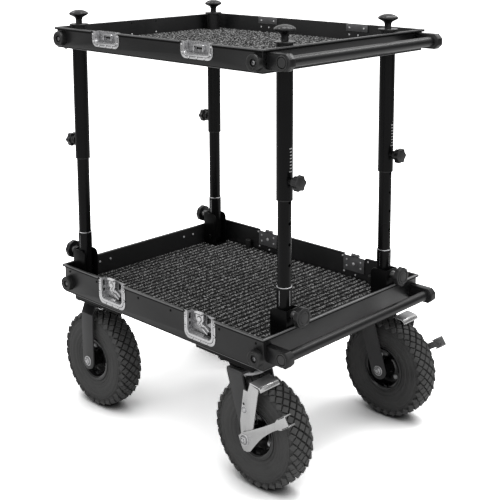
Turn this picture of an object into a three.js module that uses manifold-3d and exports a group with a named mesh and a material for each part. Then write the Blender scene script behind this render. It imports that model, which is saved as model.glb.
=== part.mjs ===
// Camera cart: a deep lower tray on four pneumatic casters and a shallow upper tray on four
// telescopic posts, with a push handle on each tray.
// Millimetres, +Z up, origin on the floor under the middle of the trays. +X is the handle end,
// -Y the latched front side, +Y the hinged back side.

import * as THREE from "three";
import { mergeVertices } from "three/addons/utils/BufferGeometryUtils.js";
import Module from "manifold-3d";

const wasm = await Module();
wasm.setup();

// General clearances
const GAP = 0.3; // between parts that are fixed to each other
const RUN_GAP = 0.6; // between parts that move on each other
const OVERRUN = 2; // how far a cutter passes the face that it opens
const SINK = 0.5; // how far a head or boss reaches into the sheet that it stands on

// Trays
const TRAY_LENGTH = 762; // over the rim lips
const TRAY_WIDTH = 606; // over the rim lips
const RIM_LIP_OUT = 5;
const RIM_LIP_HEIGHT = 6;
const WALL_THICKNESS = 3;
const FLANGE_IN = 34;
const FLANGE_THICKNESS = 3;
const LOWER_WALL_HEIGHT = 78;
const UPPER_WALL_HEIGHT = 54;
const FLOOR_SHEET = 4;
const LOWER_FLOOR_RISE = 18.3; // top of the floor above the wall's lower edge
const UPPER_FLOOR_RISE = 7;
const CARPET_THICKNESS = 3.4;
const DECK_SPACING = 656; // rim to rim

// Casters
const CASTER_END_INSET = 100; // swivel axis and fixed axle, from the rim's end
const CASTER_SIDE_INSET = 55; // middle plane of each wheel, from the rim's side
const TRAIL = 49;
const WHEEL_RADIUS = 132.5;
const TYRE_HALF_WIDTH = 36;
const TYRE_WALL = 6;
const TREAD_DEPTH = 3.5; // of the shoulder below the crown
const RIM_RADIUS = 60;
const RIM_HALF_WIDTH = 33;
const RIM_SEAT_DEPTH = 7; // of the bead seat below the flange
const RIM_SHEET = 3;
const RIM_WELL_DEPTH = 10; // below the flange
const RIM_WELL_HALF_WIDTH = 20;
const HUB_RADIUS = 19;
const HUB_HALF_LENGTH = 44;
const WHEEL_DISC_THICKNESS = 10;
const WHEEL_BOLT_CIRCLE = 33;
const WHEEL_BOLT_RADIUS = 5;
const WHEEL_BOLT_HEIGHT = 4;
const WHEEL_BOLTS = 4;
const AXLE_RADIUS = 6;
const AXLE_HEAD_RADIUS = 10;
const AXLE_HEAD_HEIGHT = 5;
const FORK_LEG_WIDTH = 47;
const FORK_SHEET = 5;
const FORK_INNER_HALF = 46;
const FORK_SHOULDER_DROP = 30;
const FORK_SHOULDER_IN = 12;
const TYRE_CLEARANCE = 13;
const CROWN_THICKNESS = 6;
const RACE_RADIUS = 55;
const RACE_HEIGHT = 9;
const TOP_PLATE_LENGTH = 112;
const TOP_PLATE_WIDTH = 92;
const TOP_PLATE_THICKNESS = 4;
const MOUNT_PLATE_THICKNESS = 9.2;
const MOUNT_PLATE_LENGTH = 190;
const MOUNT_PLATE_END_INSET = 38; // from the wall's outer face
const MOUNT_PLATE_SIDE_INSET = 4;
const MOUNT_BOLT_RADIUS = 5;
const MOUNT_BOLT_HEIGHT = 4;
const MOUNT_BOLT_MARGIN = 8;

// Brake of the swivel casters
const BRAKE_SHEET = 3;
const BRAKE_SPACER_RADIUS = 13;
const BRAKE_SPACER = 6; // from the fork leg to the shoe's plate
const BRAKE_LEVER_SPACER = 1.6; // from the shoe's plate to the lever
const SHOE_RISE = 142; // from the axle to the shoe's top face
const SHOE_LEAD = 13; // from the axle to the shoe's inner edge
const SHOE_DEPTH = 34;
const SHOE_DROP = 7; // of the shoe's top over its depth
const SHOE_REACH = 73; // from the plate across the tyre
const SHOE_LIP = 7;
const SHOE_TRAVEL = 2;
const SHOE_PLATE_WIDTH = 42;
const LEVER_LENGTH = 157;
const LEVER_BASE_RADIUS = 28;
const LEVER_HEAD_HALF_WIDTH = 13;
const LEVER_FLANGE = 22;
const LEVER_ANGLE = 34.5; // degrees above level when the brake is off
const LEVER_HEAD_SHARE = 0.85; // where the head starts, of the lever's length
// Points of the lever: along it as shares of its length, across it as shares of its base radius.
const LEVER_OUTLINE_SHARES = [
  [-0.09, 0.5],
  [0.01, 0.6],
  [0.2, 0.47],
  [0.77, 0.3],
  [0.84, 0.46],
  [1, 0.46],
  [1, -0.46],
  [0.82, -0.46],
  [0.76, -0.31],
  [0.52, -0.33],
  [0.29, -0.55],
  [0.08, -0.92],
  [0, -1.05],
  [-0.11, -0.8],
  [-0.12, -0.49],
];
// Points of the shoe's plate below its top: across as shares of its width, up as shares of the rise.
const SHOE_PLATE_SHARES = [
  [0.14, 0.83],
  [-0.17, 0.84],
  [-0.43, 0.28],
  [-0.36, -0.08],
  [0.36, -0.08],
  [0.57, 0.25],
];

// Posts
const POST_END_INSET = 36; // from the rim's end
const POST_SIDE_INSET = 54; // left posts, from the rim's side
const POST_STAGGER = 56; // the right posts stand this much further in, so all four fold flat
const OUTER_TUBE_RADIUS = 19.5;
const INNER_TUBE_RADIUS = 16.5;
const INNER_TUBE_WALL = 3;
const OUTER_TUBE_LENGTH = 305;
const OUTER_PLUG_LENGTH = 15;
const COLLAR_RADIUS = 18.5;
const COLLAR_CLEARANCE = 7;
const COLLAR_SOCKET_DEPTH = 95;
const COLLAR_SLOT_WIDTH = 3;
const COLLAR_SLOT_LENGTH = 40;
const COLLAR_SLOT_DEPTH = 1.2;
const COLLAR_SLOT_TOP = 6; // below the collar's top
const HOLE_PITCH = 50;
const HOLE_STEPS = 4;
const HOLE_RADIUS = 4;
const FOLD_CLEARANCE = 2.5; // between a folded outer tube and the carpet
const PIVOT_RADIUS = 4;
const PIVOT_HEAD_RADIUS = 7;
const PIVOT_HEAD_HEIGHT = 3;
const BRACKET_INBOARD = 25;
const BRACKET_OUTBOARD = 27;
const BRACKET_HEIGHT = 99;
const BRACKET_SHEET = 3;
const BRACKET_SIDE_GAP = 1;
const BRACKET_CORNER = 15;

// Knobs
const HEIGHT_KNOB_RADIUS = 20;
const HEIGHT_KNOB_LOBE = 3;
const HEIGHT_KNOB_THICKNESS = 15;
const HEIGHT_KNOB_LOBES = 6;
const HEIGHT_KNOB_UP = 46; // above the outer tube's lower end
const HEIGHT_KNOB_NECK = 10;
const HEIGHT_KNOB_NECK_RADIUS = 8;
const BOSS_RADIUS = 9;
const BOSS_LENGTH = 6;
const FOOT_KNOB_RADIUS = 25;
const FOOT_KNOB_LOBE = 1;
const FOOT_KNOB_LOBES = 8;
const FOOT_KNOB_THICKNESS = 14;
const FOOT_KNOB_HUB_RADIUS = 11;
const FOOT_KNOB_HUB_LENGTH = 20.5;
const FOOT_KNOB_BELOW_TOP = 13; // below the bracket's top edge
const STUD_RADIUS = 4;
const DECK_KNOB_RADIUS = 26;
const DECK_KNOB_HEIGHT = 37;
const DECK_KNOB_STEM_RADIUS = 10;
const DECK_KNOB_STEM_HEIGHT = 16;
const DECK_KNOB_EDGE = 10; // height of the widest edge above the stem
const DECK_STUD_LENGTH = 60;
const DECK_STUD_RADIUS = 5;
const SOCKET_RADIUS = 19.5;
const SOCKET_RISE = 7; // of its top plate above the rim
const SOCKET_PLATE_RADIUS = 25;
const SOCKET_PLATE_THICKNESS = 4;

// Handles
const HANDLE_REACH = 42; // from the rim to the tube's middle
const HANDLE_TUBE_RADIUS = 12.5;
const HANDLE_ARM_HEIGHT = 38;
const HANDLE_ARM_END = 22; // past the tube's middle
const HANDLE_ARM_CHAMFER = 11;
const HANDLE_ARM_THICKNESS = 20;
const HANDLE_SIDE_INSET = 15; // from the rim's side
const HANDLE_PLUG_RADIUS = 14;
const HANDLE_PLUG_HEAD = 2.5;
const LOWER_HANDLE_DROP = 39; // tube's middle below the rim
const UPPER_HANDLE_DROP = 26;

// Latches, keepers and hinge leaves
const LATCH_END_INSET = 213; // from the rim's end
const DISH_WIDTH = 108;
const DISH_SHEET = 1.5;
const DISH_CORNER = 18;
const DISH_PAN_WIDTH = 84;
const DISH_PAN_DEPTH = 13;
const LOWER_DISH_HEIGHT = 68;
const LOWER_PAN_HEIGHT = 54;
const UPPER_DISH_HEIGHT = 40;
const UPPER_PAN_HEIGHT = 28;
const SPINDLE_DROP = 28; // below the rim
const SPINDLE_RADIUS = 5;
const WING_RADIUS = 24;
const WING_THICKNESS = 3;
const WING_SPREAD = 20; // width of the bow tie at its ends
const WING_WAIST = 6;
const WING_ANGLE = -32; // degrees, at rest
const HOOK_WIDTH = 26;
const HOOK_THICKNESS = 2.4;
const HOOK_RISE = 7; // above the rim
const HOOK_TAB = 5;
const KEEPER_WIDTH = 34;
const KEEPER_HEIGHT = 16;
const KEEPER_DEPTH = 7;
const KEEPER_DROP = 6;
const KEEPER_WALL = 3;
const HINGE_END_INSET = 216; // from the rim's end
const LEAF_WIDTH = 75;
const LEAF_THICKNESS = 2;
const LOWER_LEAF_HEIGHT = 44;
const UPPER_LEAF_HEIGHT = 21;
const KNUCKLE_RADIUS = 4;
const KNUCKLE_WIDTH = 26;

// Fasteners and rubber parts
const RIVET_RADIUS = 3;
const RIVET_HEIGHT = 1.6;
const LEAF_RIVET_SIDE_SHARE = 0.38; // of the leaf's width, from its middle
const LOWER_LEAF_RIVET_SHARES = [0.25, 0.75]; // of the leaf's height, below the rim
const UPPER_LEAF_RIVET_SHARES = [0.55];
const WALL_SCREW_INSETS = [28, 147, 319]; // from the rim's end
const WALL_SCREW_DROP = 17;
const LOWER_RIVET_OFFSETS = [69, 107]; // along the end wall, from the post to the middle
const LOWER_RIVET_DROP = 23;
const UPPER_RIVET_SPREAD = 45;
const UPPER_RIVET_DROP = 40;
const SEAT_BOLT_RADIUS = 5;
const SEAT_BOLT_HEIGHT = 4;
const SEAT_BOLT_SPREAD = 41; // along Y, from the post
const SEAT_BOLT_INSET = 23; // from the wall
const BUMPER_RADIUS = 20;
const BUMPER_THICKNESS = 14;
const BUMPER_COUNTERBORE = 9;
const BUMPER_COUNTERBORE_DEPTH = 6;
const BUMPER_END_INSET = 24; // from the rim's end
const LOWER_BUMPER_DROP = 50; // its middle below the rim
const UPPER_BUMPER_DROP = 30;
const BUMPER_EDGE = 2;
const STANDOFF_RADIUS = 9;
const STANDOFF_HEIGHT = 23;
const STANDOFF_END_INSET = 145; // from the rim's end
const STANDOFF_SIDE_GAP = 1; // to the wall

// Facets of round shapes
const SIDES_SMALL = 6;
const SIDES_ROD = 10;
const SIDES_TUBE = 16;
const SIDES_WHEEL = 24;
const ARC_STEPS = 3;

// Heights that follow from the sizes above
const AXLE_Z = WHEEL_RADIUS;
const CROWN_Z = AXLE_Z + WHEEL_RADIUS + TYRE_CLEARANCE;
const RACE_Z = CROWN_Z + CROWN_THICKNESS + RUN_GAP;
const TOP_PLATE_Z = RACE_Z + RACE_HEIGHT + RUN_GAP;
const MOUNT_PLATE_Z = TOP_PLATE_Z + TOP_PLATE_THICKNESS + GAP;
const LOWER_BOTTOM_Z = MOUNT_PLATE_Z + MOUNT_PLATE_THICKNESS + GAP;
const LOWER_RIM_Z = LOWER_BOTTOM_Z + LOWER_WALL_HEIGHT;
const UPPER_RIM_Z = LOWER_RIM_Z + DECK_SPACING;
const UPPER_BOTTOM_Z = UPPER_RIM_Z - UPPER_WALL_HEIGHT;
const LOWER_FLOOR_Z = LOWER_BOTTOM_Z + LOWER_FLOOR_RISE;
const LOWER_CARPET_Z = LOWER_FLOOR_Z + GAP;
const UPPER_FLOOR_Z = UPPER_BOTTOM_Z + UPPER_FLOOR_RISE;
const UPPER_CARPET_Z = UPPER_FLOOR_Z + GAP;
const OUTER_TUBE_TOP = UPPER_BOTTOM_Z - RUN_GAP;
const OUTER_TUBE_BOTTOM = OUTER_TUBE_TOP - OUTER_TUBE_LENGTH;
const DECK_TRAVEL = HOLE_PITCH * HOLE_STEPS;
const COLLAR_TOP = OUTER_TUBE_BOTTOM - DECK_TRAVEL - COLLAR_CLEARANCE;
const INNER_TUBE_TOP = OUTER_TUBE_TOP - OUTER_PLUG_LENGTH - DECK_TRAVEL - OVERRUN;
const INNER_TUBE_BOTTOM = COLLAR_TOP - COLLAR_SOCKET_DEPTH;
const PIVOT_Z = LOWER_CARPET_Z + CARPET_THICKNESS + FOLD_CLEARANCE + OUTER_TUBE_RADIUS;
const HEIGHT_KNOB_Z = OUTER_TUBE_BOTTOM + HEIGHT_KNOB_UP;
const BRACKET_Z = LOWER_FLOOR_Z + GAP;
const BRACKET_INNER_HALF = COLLAR_RADIUS + BRACKET_SIDE_GAP;
const BRACKET_OUTER_HALF = BRACKET_INNER_HALF + BRACKET_SHEET;
const FOOT_KNOB_Z = BRACKET_Z + BRACKET_HEIGHT - FOOT_KNOB_BELOW_TOP;
const SOCKET_TOP_Z = UPPER_RIM_Z + SOCKET_RISE;

// Plan sizes that follow
const WALL_X = TRAY_LENGTH / 2 - RIM_LIP_OUT;
const WALL_Y = TRAY_WIDTH / 2 - RIM_LIP_OUT;
const INNER_X = WALL_X - WALL_THICKNESS;
const INNER_Y = WALL_Y - WALL_THICKNESS;
const FORK_OUTER_HALF = FORK_INNER_HALF + FORK_SHEET;
const CASTER_X = TRAY_LENGTH / 2 - CASTER_END_INSET;
const CASTER_Y = TRAY_WIDTH / 2 - CASTER_SIDE_INSET;
const POST_X = TRAY_LENGTH / 2 - POST_END_INSET;
const LEFT_POST_Y = TRAY_WIDTH / 2 - POST_SIDE_INSET;
const RIGHT_POST_Y = LEFT_POST_Y - POST_STAGGER;
const HANDLE_ARM_OUTER_Y = TRAY_WIDTH / 2 - HANDLE_SIDE_INSET;
const LATCH_X = TRAY_LENGTH / 2 - LATCH_END_INSET;
const HINGE_X = TRAY_LENGTH / 2 - HINGE_END_INSET;
const STANDOFF_X = TRAY_LENGTH / 2 - STANDOFF_END_INSET;
const HANDLE_X = TRAY_LENGTH / 2 + HANDLE_REACH;

// Finishes
const BLACK_COAT = { color: 0x26262a, roughness: 0.5, metalness: 0.1 };
const BLACK_TUBE = { color: 0x1d1d20, roughness: 0.4, metalness: 0.2 };
const BLACK_PLASTIC = { color: 0x232326, roughness: 0.6, metalness: 0 };
const TYRE_RUBBER = { color: 0x303032, roughness: 0.9, metalness: 0 };
const FORK_PAINT = { color: 0x2e2e31, roughness: 0.55, metalness: 0.1 };
const GLOSS_BLACK = { color: 0x0c0c0d, roughness: 0.15, metalness: 0.2 };
const ZINC = { color: 0xb9babb, roughness: 0.4, metalness: 0.9 };
const CHROME = { color: 0xc8cacc, roughness: 0.15, metalness: 1 };
const LEAF_STEEL = { color: 0x4a4b4e, roughness: 0.45, metalness: 0.6 };
const SPECKLED_CARPET = { color: 0x5a5a5c, roughness: 1, metalness: 0 };
const RIBBED_CARPET = { color: 0x3a3a3c, roughness: 1, metalness: 0 };

// Basic solids

function toSolid(geometry) {
  geometry.deleteAttribute("normal");
  geometry.deleteAttribute("uv");
  const merged = mergeVertices(geometry);
  const vertProperties = new Float32Array(merged.attributes.position.array);
  const corners = [];
  for (let i = 0; i < merged.index.count; i += 3) {
    const [a, b, c] = merged.index.array.slice(i, i + 3);
    if (a !== b && b !== c && c !== a) {
      corners.push(a, b, c);
    }
  }
  const triVerts = new Uint32Array(corners);
  return new wasm.Manifold(new wasm.Mesh({ numProp: 3, vertProperties, triVerts }));
}

function block(x0, x1, y0, y1, z0, z1) {
  const geometry = new THREE.BoxGeometry(Math.abs(x1 - x0), Math.abs(y1 - y0), Math.abs(z1 - z0));
  geometry.translate((x0 + x1) / 2, (y0 + y1) / 2, (z0 + z1) / 2);
  return toSolid(geometry);
}

// A round bar along an axis, from one coordinate to the other; the centre gives the other two.
function rod(radius, axis, from, to, centre, sides = SIDES_ROD) {
  const geometry = new THREE.CylinderGeometry(radius, radius, Math.abs(to - from), sides);
  const middle = (from + to) / 2;
  if (axis === "x") {
    geometry.rotateZ(-Math.PI / 2);
    geometry.translate(middle, centre[1], centre[2]);
  } else if (axis === "y") {
    geometry.translate(centre[0], middle, centre[2]);
  } else {
    geometry.rotateX(Math.PI / 2);
    geometry.translate(centre[0], centre[1], middle);
  }
  return toSolid(geometry);
}

// A turned body: the profile is radius and height pairs, from the lower end up the outside.
function turned(profile, axis, sides) {
  const points = profile.map(([radius, height]) => new THREE.Vector2(radius, height));
  const geometry = new THREE.LatheGeometry(points, sides);
  if (axis === "z") {
    geometry.rotateX(Math.PI / 2);
  }
  if (axis === "x") {
    geometry.rotateZ(-Math.PI / 2);
  }
  return toSolid(geometry);
}

function extrusion(points, depth) {
  const shape = new THREE.Shape(points.map(([x, y]) => new THREE.Vector2(x, y)));
  return new THREE.ExtrudeGeometry(shape, { depth, bevelEnabled: false });
}

// Plates cut from an outline: drawn in X and Z and thick in Y, or drawn in Y and Z and thick in X.
function plateXZ(points, y0, y1) {
  const geometry = extrusion(points, Math.abs(y1 - y0));
  geometry.rotateX(Math.PI / 2);
  geometry.translate(0, Math.max(y0, y1), 0);
  return toSolid(geometry);
}

function plateYZ(points, x0, x1) {
  const geometry = extrusion(points, x1 - x0);
  const turn = new THREE.Matrix4().makeBasis(
    new THREE.Vector3(0, 1, 0),
    new THREE.Vector3(0, 0, 1),
    new THREE.Vector3(1, 0, 0),
  );
  geometry.applyMatrix4(turn);
  geometry.translate(x0, 0, 0);
  return toSolid(geometry);
}

function arc(cx, cy, radius, fromDegrees, toDegrees, steps = ARC_STEPS) {
  const points = [];
  for (let i = 0; i <= steps; i += 1) {
    const angle = THREE.MathUtils.degToRad(fromDegrees + ((toDegrees - fromDegrees) * i) / steps);
    points.push([cx + radius * Math.cos(angle), cy + radius * Math.sin(angle)]);
  }
  return points;
}

function lobed(radius, depth, lobes) {
  const steps = lobes * ARC_STEPS;
  const points = [];
  for (let i = 0; i < steps; i += 1) {
    const angle = (2 * Math.PI * i) / steps;
    const reach = radius - depth * (1 - Math.cos(lobes * angle)) / 2;
    points.push([reach * Math.cos(angle), reach * Math.sin(angle)]);
  }
  return points;
}

function join(solids) {
  return solids.reduce((whole, next) => whole.add(next));
}

function cut(solid, cutters) {
  return solid.subtract(join(cutters));
}

function addPart(parent, name, solid, finish) {
  const source = solid.getMesh();
  const geometry = new THREE.BufferGeometry();
  const vertices = new Float32Array(source.vertProperties);
  geometry.setAttribute("position", new THREE.BufferAttribute(vertices, 3));
  geometry.setIndex(new THREE.BufferAttribute(new Uint32Array(source.triVerts), 1));
  geometry.computeVertexNormals();
  const mesh = new THREE.Mesh(geometry, new THREE.MeshStandardMaterial(finish));
  mesh.name = name;
  parent.add(mesh);
  return mesh;
}

function addGroup(parent, x, y, z) {
  const group = new THREE.Group();
  group.position.set(x, y, z);
  parent.add(group);
  return group;
}

const SIDES = [-1, 1];

// Places of the four posts: the outboard direction along X is the side's sign.
const POSTS = [];
for (const alongX of SIDES) {
  for (const alongY of SIDES) {
    const reach = alongX < 0 ? LEFT_POST_Y : RIGHT_POST_Y;
    POSTS.push({
      name: (alongY < 0 ? "front" : "back") + (alongX < 0 ? "_left" : "_right"),
      outboard: alongX,
      x: alongX * POST_X,
      y: alongY * reach,
    });
  }
}

const cart = new THREE.Group();

// Domed heads along an axis: the seat is the face they stand on, the sign says which way they point.
function head(radius, height, axis, seat, sign, centre) {
  const profile = [[0, -SINK], [radius, -SINK], [radius / 2, height], [0, height]];
  const solid = turned(profile, axis, SIDES_SMALL);
  const turn = axis === "y" ? [180, 0, 0] : [0, 180, 0];
  const place = [...centre];
  place["xyz".indexOf(axis)] = seat;
  return (sign > 0 ? solid : solid.rotate(turn)).translate(place);
}

// Round rubber bumpers on the long walls, each with a screw in its counterbore.
function bumpers(z) {
  const shoulder = BUMPER_THICKNESS - BUMPER_COUNTERBORE_DEPTH;
  const screw = BUMPER_COUNTERBORE - BUMPER_EDGE;
  const profile = [
    [0, -SINK],
    [BUMPER_RADIUS, -SINK],
    [BUMPER_RADIUS, BUMPER_THICKNESS - BUMPER_EDGE],
    [BUMPER_RADIUS - BUMPER_EDGE, BUMPER_THICKNESS],
    [BUMPER_COUNTERBORE, BUMPER_THICKNESS],
    [BUMPER_COUNTERBORE, shoulder],
    [screw, shoulder],
    [screw / 2, shoulder + RIVET_HEIGHT * 2],
    [0, shoulder + RIVET_HEIGHT * 2],
  ];
  const x = TRAY_LENGTH / 2 - BUMPER_END_INSET;
  return SIDES.flatMap((alongX) => SIDES.map((side) => (
    turned(profile, "y", SIDES_ROD)
      .rotate([side > 0 ? 0 : 180, 0, 0])
      .translate([alongX * x, side * WALL_Y, z])
  )));
}

// Rivets inside the end walls; a place is the end's sign and a distance along the wall.
function endRivets(z, places) {
  return places.map(([end, y]) => (
    head(RIVET_RADIUS, RIVET_HEIGHT, "x", end * INNER_X, -end, [0, y, z])
  ));
}

// Trays: walls with a rim lip and a bottom flange, and a floor sheet welded in between the walls.
function trayPan(rimZ, wallHeight, floorZ, panHeight) {
  const bottom = rimZ - wallHeight;
  const lipZ = rimZ - RIM_LIP_HEIGHT;
  const walls = block(-WALL_X, WALL_X, -WALL_Y, WALL_Y, bottom, rimZ);
  const lip = block(-TRAY_LENGTH / 2, TRAY_LENGTH / 2, -TRAY_WIDTH / 2, TRAY_WIDTH / 2, lipZ, rimZ);
  const inside = block(-INNER_X, INNER_X, -INNER_Y, INNER_Y, bottom + FLANGE_THICKNESS, rimZ + OVERRUN);
  const opening = block(
    FLANGE_IN - INNER_X,
    INNER_X - FLANGE_IN,
    FLANGE_IN - INNER_Y,
    INNER_Y - FLANGE_IN,
    bottom - OVERRUN,
    bottom + FLANGE_THICKNESS + OVERRUN,
  );
  const cutters = [inside, opening];
  for (const side of SIDES) {
    const x = side * LATCH_X;
    const half = DISH_PAN_WIDTH / 2 + GAP;
    const lipHalf = DISH_WIDTH / 2 + GAP;
    const top = rimZ + OVERRUN;
    const foot = rimZ - panHeight - GAP;
    cutters.push(block(x - half, x + half, -TRAY_WIDTH, OVERRUN - INNER_Y, foot, top));
    cutters.push(block(x - lipHalf, x + lipHalf, -TRAY_WIDTH, -WALL_Y, lipZ - OVERRUN, top));
  }
  const edgeX = INNER_X + SINK;
  const edgeY = INNER_Y + SINK;
  const floor = block(-edgeX, edgeX, -edgeY, edgeY, floorZ - FLOOR_SHEET, floorZ);
  return cut(walls.add(lip), cutters).add(floor);
}

// Small screws along the lower tray's long walls.
function wallScrews() {
  const z = LOWER_RIM_Z - WALL_SCREW_DROP;
  return SIDES.flatMap((side) => SIDES.flatMap((alongX) => WALL_SCREW_INSETS.map((inset) => {
    const place = [alongX * (TRAY_LENGTH / 2 - inset), 0, z];
    return head(RIVET_RADIUS, RIVET_HEIGHT, "y", side * WALL_Y, side, place);
  })));
}

// Short rubber stand-offs on the lower floor, by the two long walls.
const STANDOFF_Y = INNER_Y - STANDOFF_SIDE_GAP - STANDOFF_RADIUS;
const STANDOFFS = SIDES.flatMap((alongX) => (
  SIDES.map((alongY) => [alongX * STANDOFF_X, alongY * STANDOFF_Y, 0])
));

function standoffs() {
  const top = LOWER_CARPET_Z + CARPET_THICKNESS + STANDOFF_HEIGHT;
  return STANDOFFS.map((place) => rod(STANDOFF_RADIUS, "z", LOWER_FLOOR_Z - SINK, top, place));
}

// Sockets in the upper tray's corners: a column with a round top plate.
function postSocket(post) {
  const foot = UPPER_FLOOR_Z - SINK;
  const seat = SOCKET_TOP_Z - SOCKET_PLATE_THICKNESS;
  const profile = [
    [0, foot],
    [SOCKET_RADIUS, foot],
    [SOCKET_RADIUS, seat],
    [SOCKET_PLATE_RADIUS, seat],
    [SOCKET_PLATE_RADIUS, SOCKET_TOP_Z],
    [0, SOCKET_TOP_Z],
  ];
  return turned(profile, "z", SIDES_TUBE).translate([post.x, post.y, 0]);
}

// The knob's stud runs through the socket and the floor.
function studBore(post) {
  const z = UPPER_BOTTOM_Z - OVERRUN;
  return rod(DECK_STUD_RADIUS + RUN_GAP, "z", z, SOCKET_TOP_Z + OVERRUN, [post.x, post.y, 0]);
}

// Bolts under the upper tray, two beside each post.
function seatBolts() {
  return POSTS.flatMap((post) => SIDES.map((side) => {
    const x = post.outboard * (INNER_X - SEAT_BOLT_INSET);
    const place = [x, post.y + side * SEAT_BOLT_SPREAD, 0];
    return head(SEAT_BOLT_RADIUS, SEAT_BOLT_HEIGHT, "z", UPPER_BOTTOM_Z, -1, place);
  }));
}

function lowerTray() {
  const rivets = POSTS.flatMap((post) => LOWER_RIVET_OFFSETS.map((offset) => (
    [post.outboard, post.y - Math.sign(post.y) * offset]
  )));
  return join([
    trayPan(LOWER_RIM_Z, LOWER_WALL_HEIGHT, LOWER_FLOOR_Z, LOWER_PAN_HEIGHT),
    ...bumpers(LOWER_RIM_Z - LOWER_BUMPER_DROP),
    ...endRivets(LOWER_RIM_Z - LOWER_RIVET_DROP, rivets),
    ...wallScrews(),
    ...standoffs(),
  ]);
}

function upperTray() {
  const rivets = SIDES.flatMap((end) => SIDES.map((side) => [end, side * UPPER_RIVET_SPREAD]));
  const tray = join([
    trayPan(UPPER_RIM_Z, UPPER_WALL_HEIGHT, UPPER_FLOOR_Z, UPPER_PAN_HEIGHT),
    ...bumpers(UPPER_RIM_Z - UPPER_BUMPER_DROP),
    ...endRivets(UPPER_RIM_Z - UPPER_RIVET_DROP, rivets),
    ...POSTS.map(postSocket),
    ...seatBolts(),
  ]);
  return cut(tray, POSTS.map(studBore));
}

addPart(cart, "lower_tray", lowerTray(), BLACK_COAT);
addPart(cart, "upper_tray", upperTray(), BLACK_COAT);

const CARPET_X = INNER_X - GAP;
const CARPET_Y = INNER_Y - GAP;

// The lower carpet is cut out round the foot brackets and stand-offs, the upper one round the sockets.
function lowerCarpet() {
  const top = LOWER_CARPET_Z + CARPET_THICKNESS;
  const sheet = block(-CARPET_X, CARPET_X, -CARPET_Y, CARPET_Y, LOWER_CARPET_Z, top);
  const from = LOWER_CARPET_Z - OVERRUN;
  const notches = POSTS.map((post) => {
    const inboard = post.x - post.outboard * (BRACKET_INBOARD + RUN_GAP);
    const edge = post.outboard * (CARPET_X + OVERRUN);
    const half = BRACKET_OUTER_HALF + RUN_GAP;
    return block(inboard, edge, post.y - half, post.y + half, from, top + OVERRUN);
  });
  const holes = STANDOFFS.map((place) => rod(STANDOFF_RADIUS + GAP, "z", from, top + OVERRUN, place));
  return cut(sheet, [...notches, ...holes]);
}

function upperCarpet() {
  const top = UPPER_CARPET_Z + CARPET_THICKNESS;
  const sheet = block(-CARPET_X, CARPET_X, -CARPET_Y, CARPET_Y, UPPER_CARPET_Z, top);
  const from = UPPER_CARPET_Z - OVERRUN;
  const holes = POSTS.map((post) => (
    rod(SOCKET_RADIUS + GAP, "z", from, top + OVERRUN, [post.x, post.y, 0], SIDES_TUBE)
  ));
  return cut(sheet, holes);
}

addPart(cart, "lower_carpet", lowerCarpet(), RIBBED_CARPET);
addPart(cart, "upper_carpet", upperCarpet(), SPECKLED_CARPET);

// Dishes of the latches and keepers: a flange on the wall's face and a pan sunk into the tray.

function dish(x, rimZ, height, panHeight) {
  const half = DISH_WIDTH / 2;
  const bottom = rimZ - height;
  const face = -WALL_Y - GAP;
  const outline = [
    [x + half, rimZ],
    [x - half, rimZ],
    ...arc(x - half + DISH_CORNER, bottom + DISH_CORNER, DISH_CORNER, 180, 270),
    ...arc(x + half - DISH_CORNER, bottom + DISH_CORNER, DISH_CORNER, 270, 360),
  ];
  const flange = plateXZ(outline, face - DISH_SHEET, face);
  const panHalf = DISH_PAN_WIDTH / 2;
  const panBottom = rimZ - panHeight;
  const back = face + DISH_PAN_DEPTH;
  const pan = block(x - panHalf, x + panHalf, face - DISH_SHEET, back, panBottom, rimZ);
  const hollow = block(
    x - panHalf + DISH_SHEET,
    x + panHalf - DISH_SHEET,
    face - DISH_SHEET - OVERRUN,
    back - DISH_SHEET,
    panBottom + DISH_SHEET,
    rimZ + OVERRUN,
  );
  return cut(flange.add(pan), [hollow]);
}

const PAN_BACK = -WALL_Y - GAP + DISH_PAN_DEPTH - DISH_SHEET;
const WING_Y = PAN_BACK - WING_THICKNESS - RUN_GAP;
const HOOK_Y = WING_Y - HOOK_THICKNESS - RUN_GAP;

// The spindle stub stands on the pan's back and carries the wing.
function latchDish(x) {
  const z = LOWER_RIM_Z - SPINDLE_DROP;
  const stub = rod(SPINDLE_RADIUS, "y", WING_Y, PAN_BACK + SINK, [x, 0, z]);
  return dish(x, LOWER_RIM_Z, LOWER_DISH_HEIGHT, LOWER_PAN_HEIGHT).add(stub);
}

function keeperDish(x) {
  const z = UPPER_RIM_Z - KEEPER_DROP;
  const half = KEEPER_WIDTH / 2;
  const face = PAN_BACK - KEEPER_DEPTH;
  const keeper = block(x - half, x + half, face, PAN_BACK + SINK, z - KEEPER_HEIGHT, z);
  const innerHalf = half - KEEPER_WALL;
  const slot = block(
    x - innerHalf,
    x + innerHalf,
    face - OVERRUN,
    PAN_BACK - KEEPER_WALL / 2,
    z - KEEPER_HEIGHT - OVERRUN,
    z - KEEPER_WALL,
  );
  return dish(x, UPPER_RIM_Z, UPPER_DISH_HEIGHT, UPPER_PAN_HEIGHT).add(cut(keeper, [slot]));
}

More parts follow.
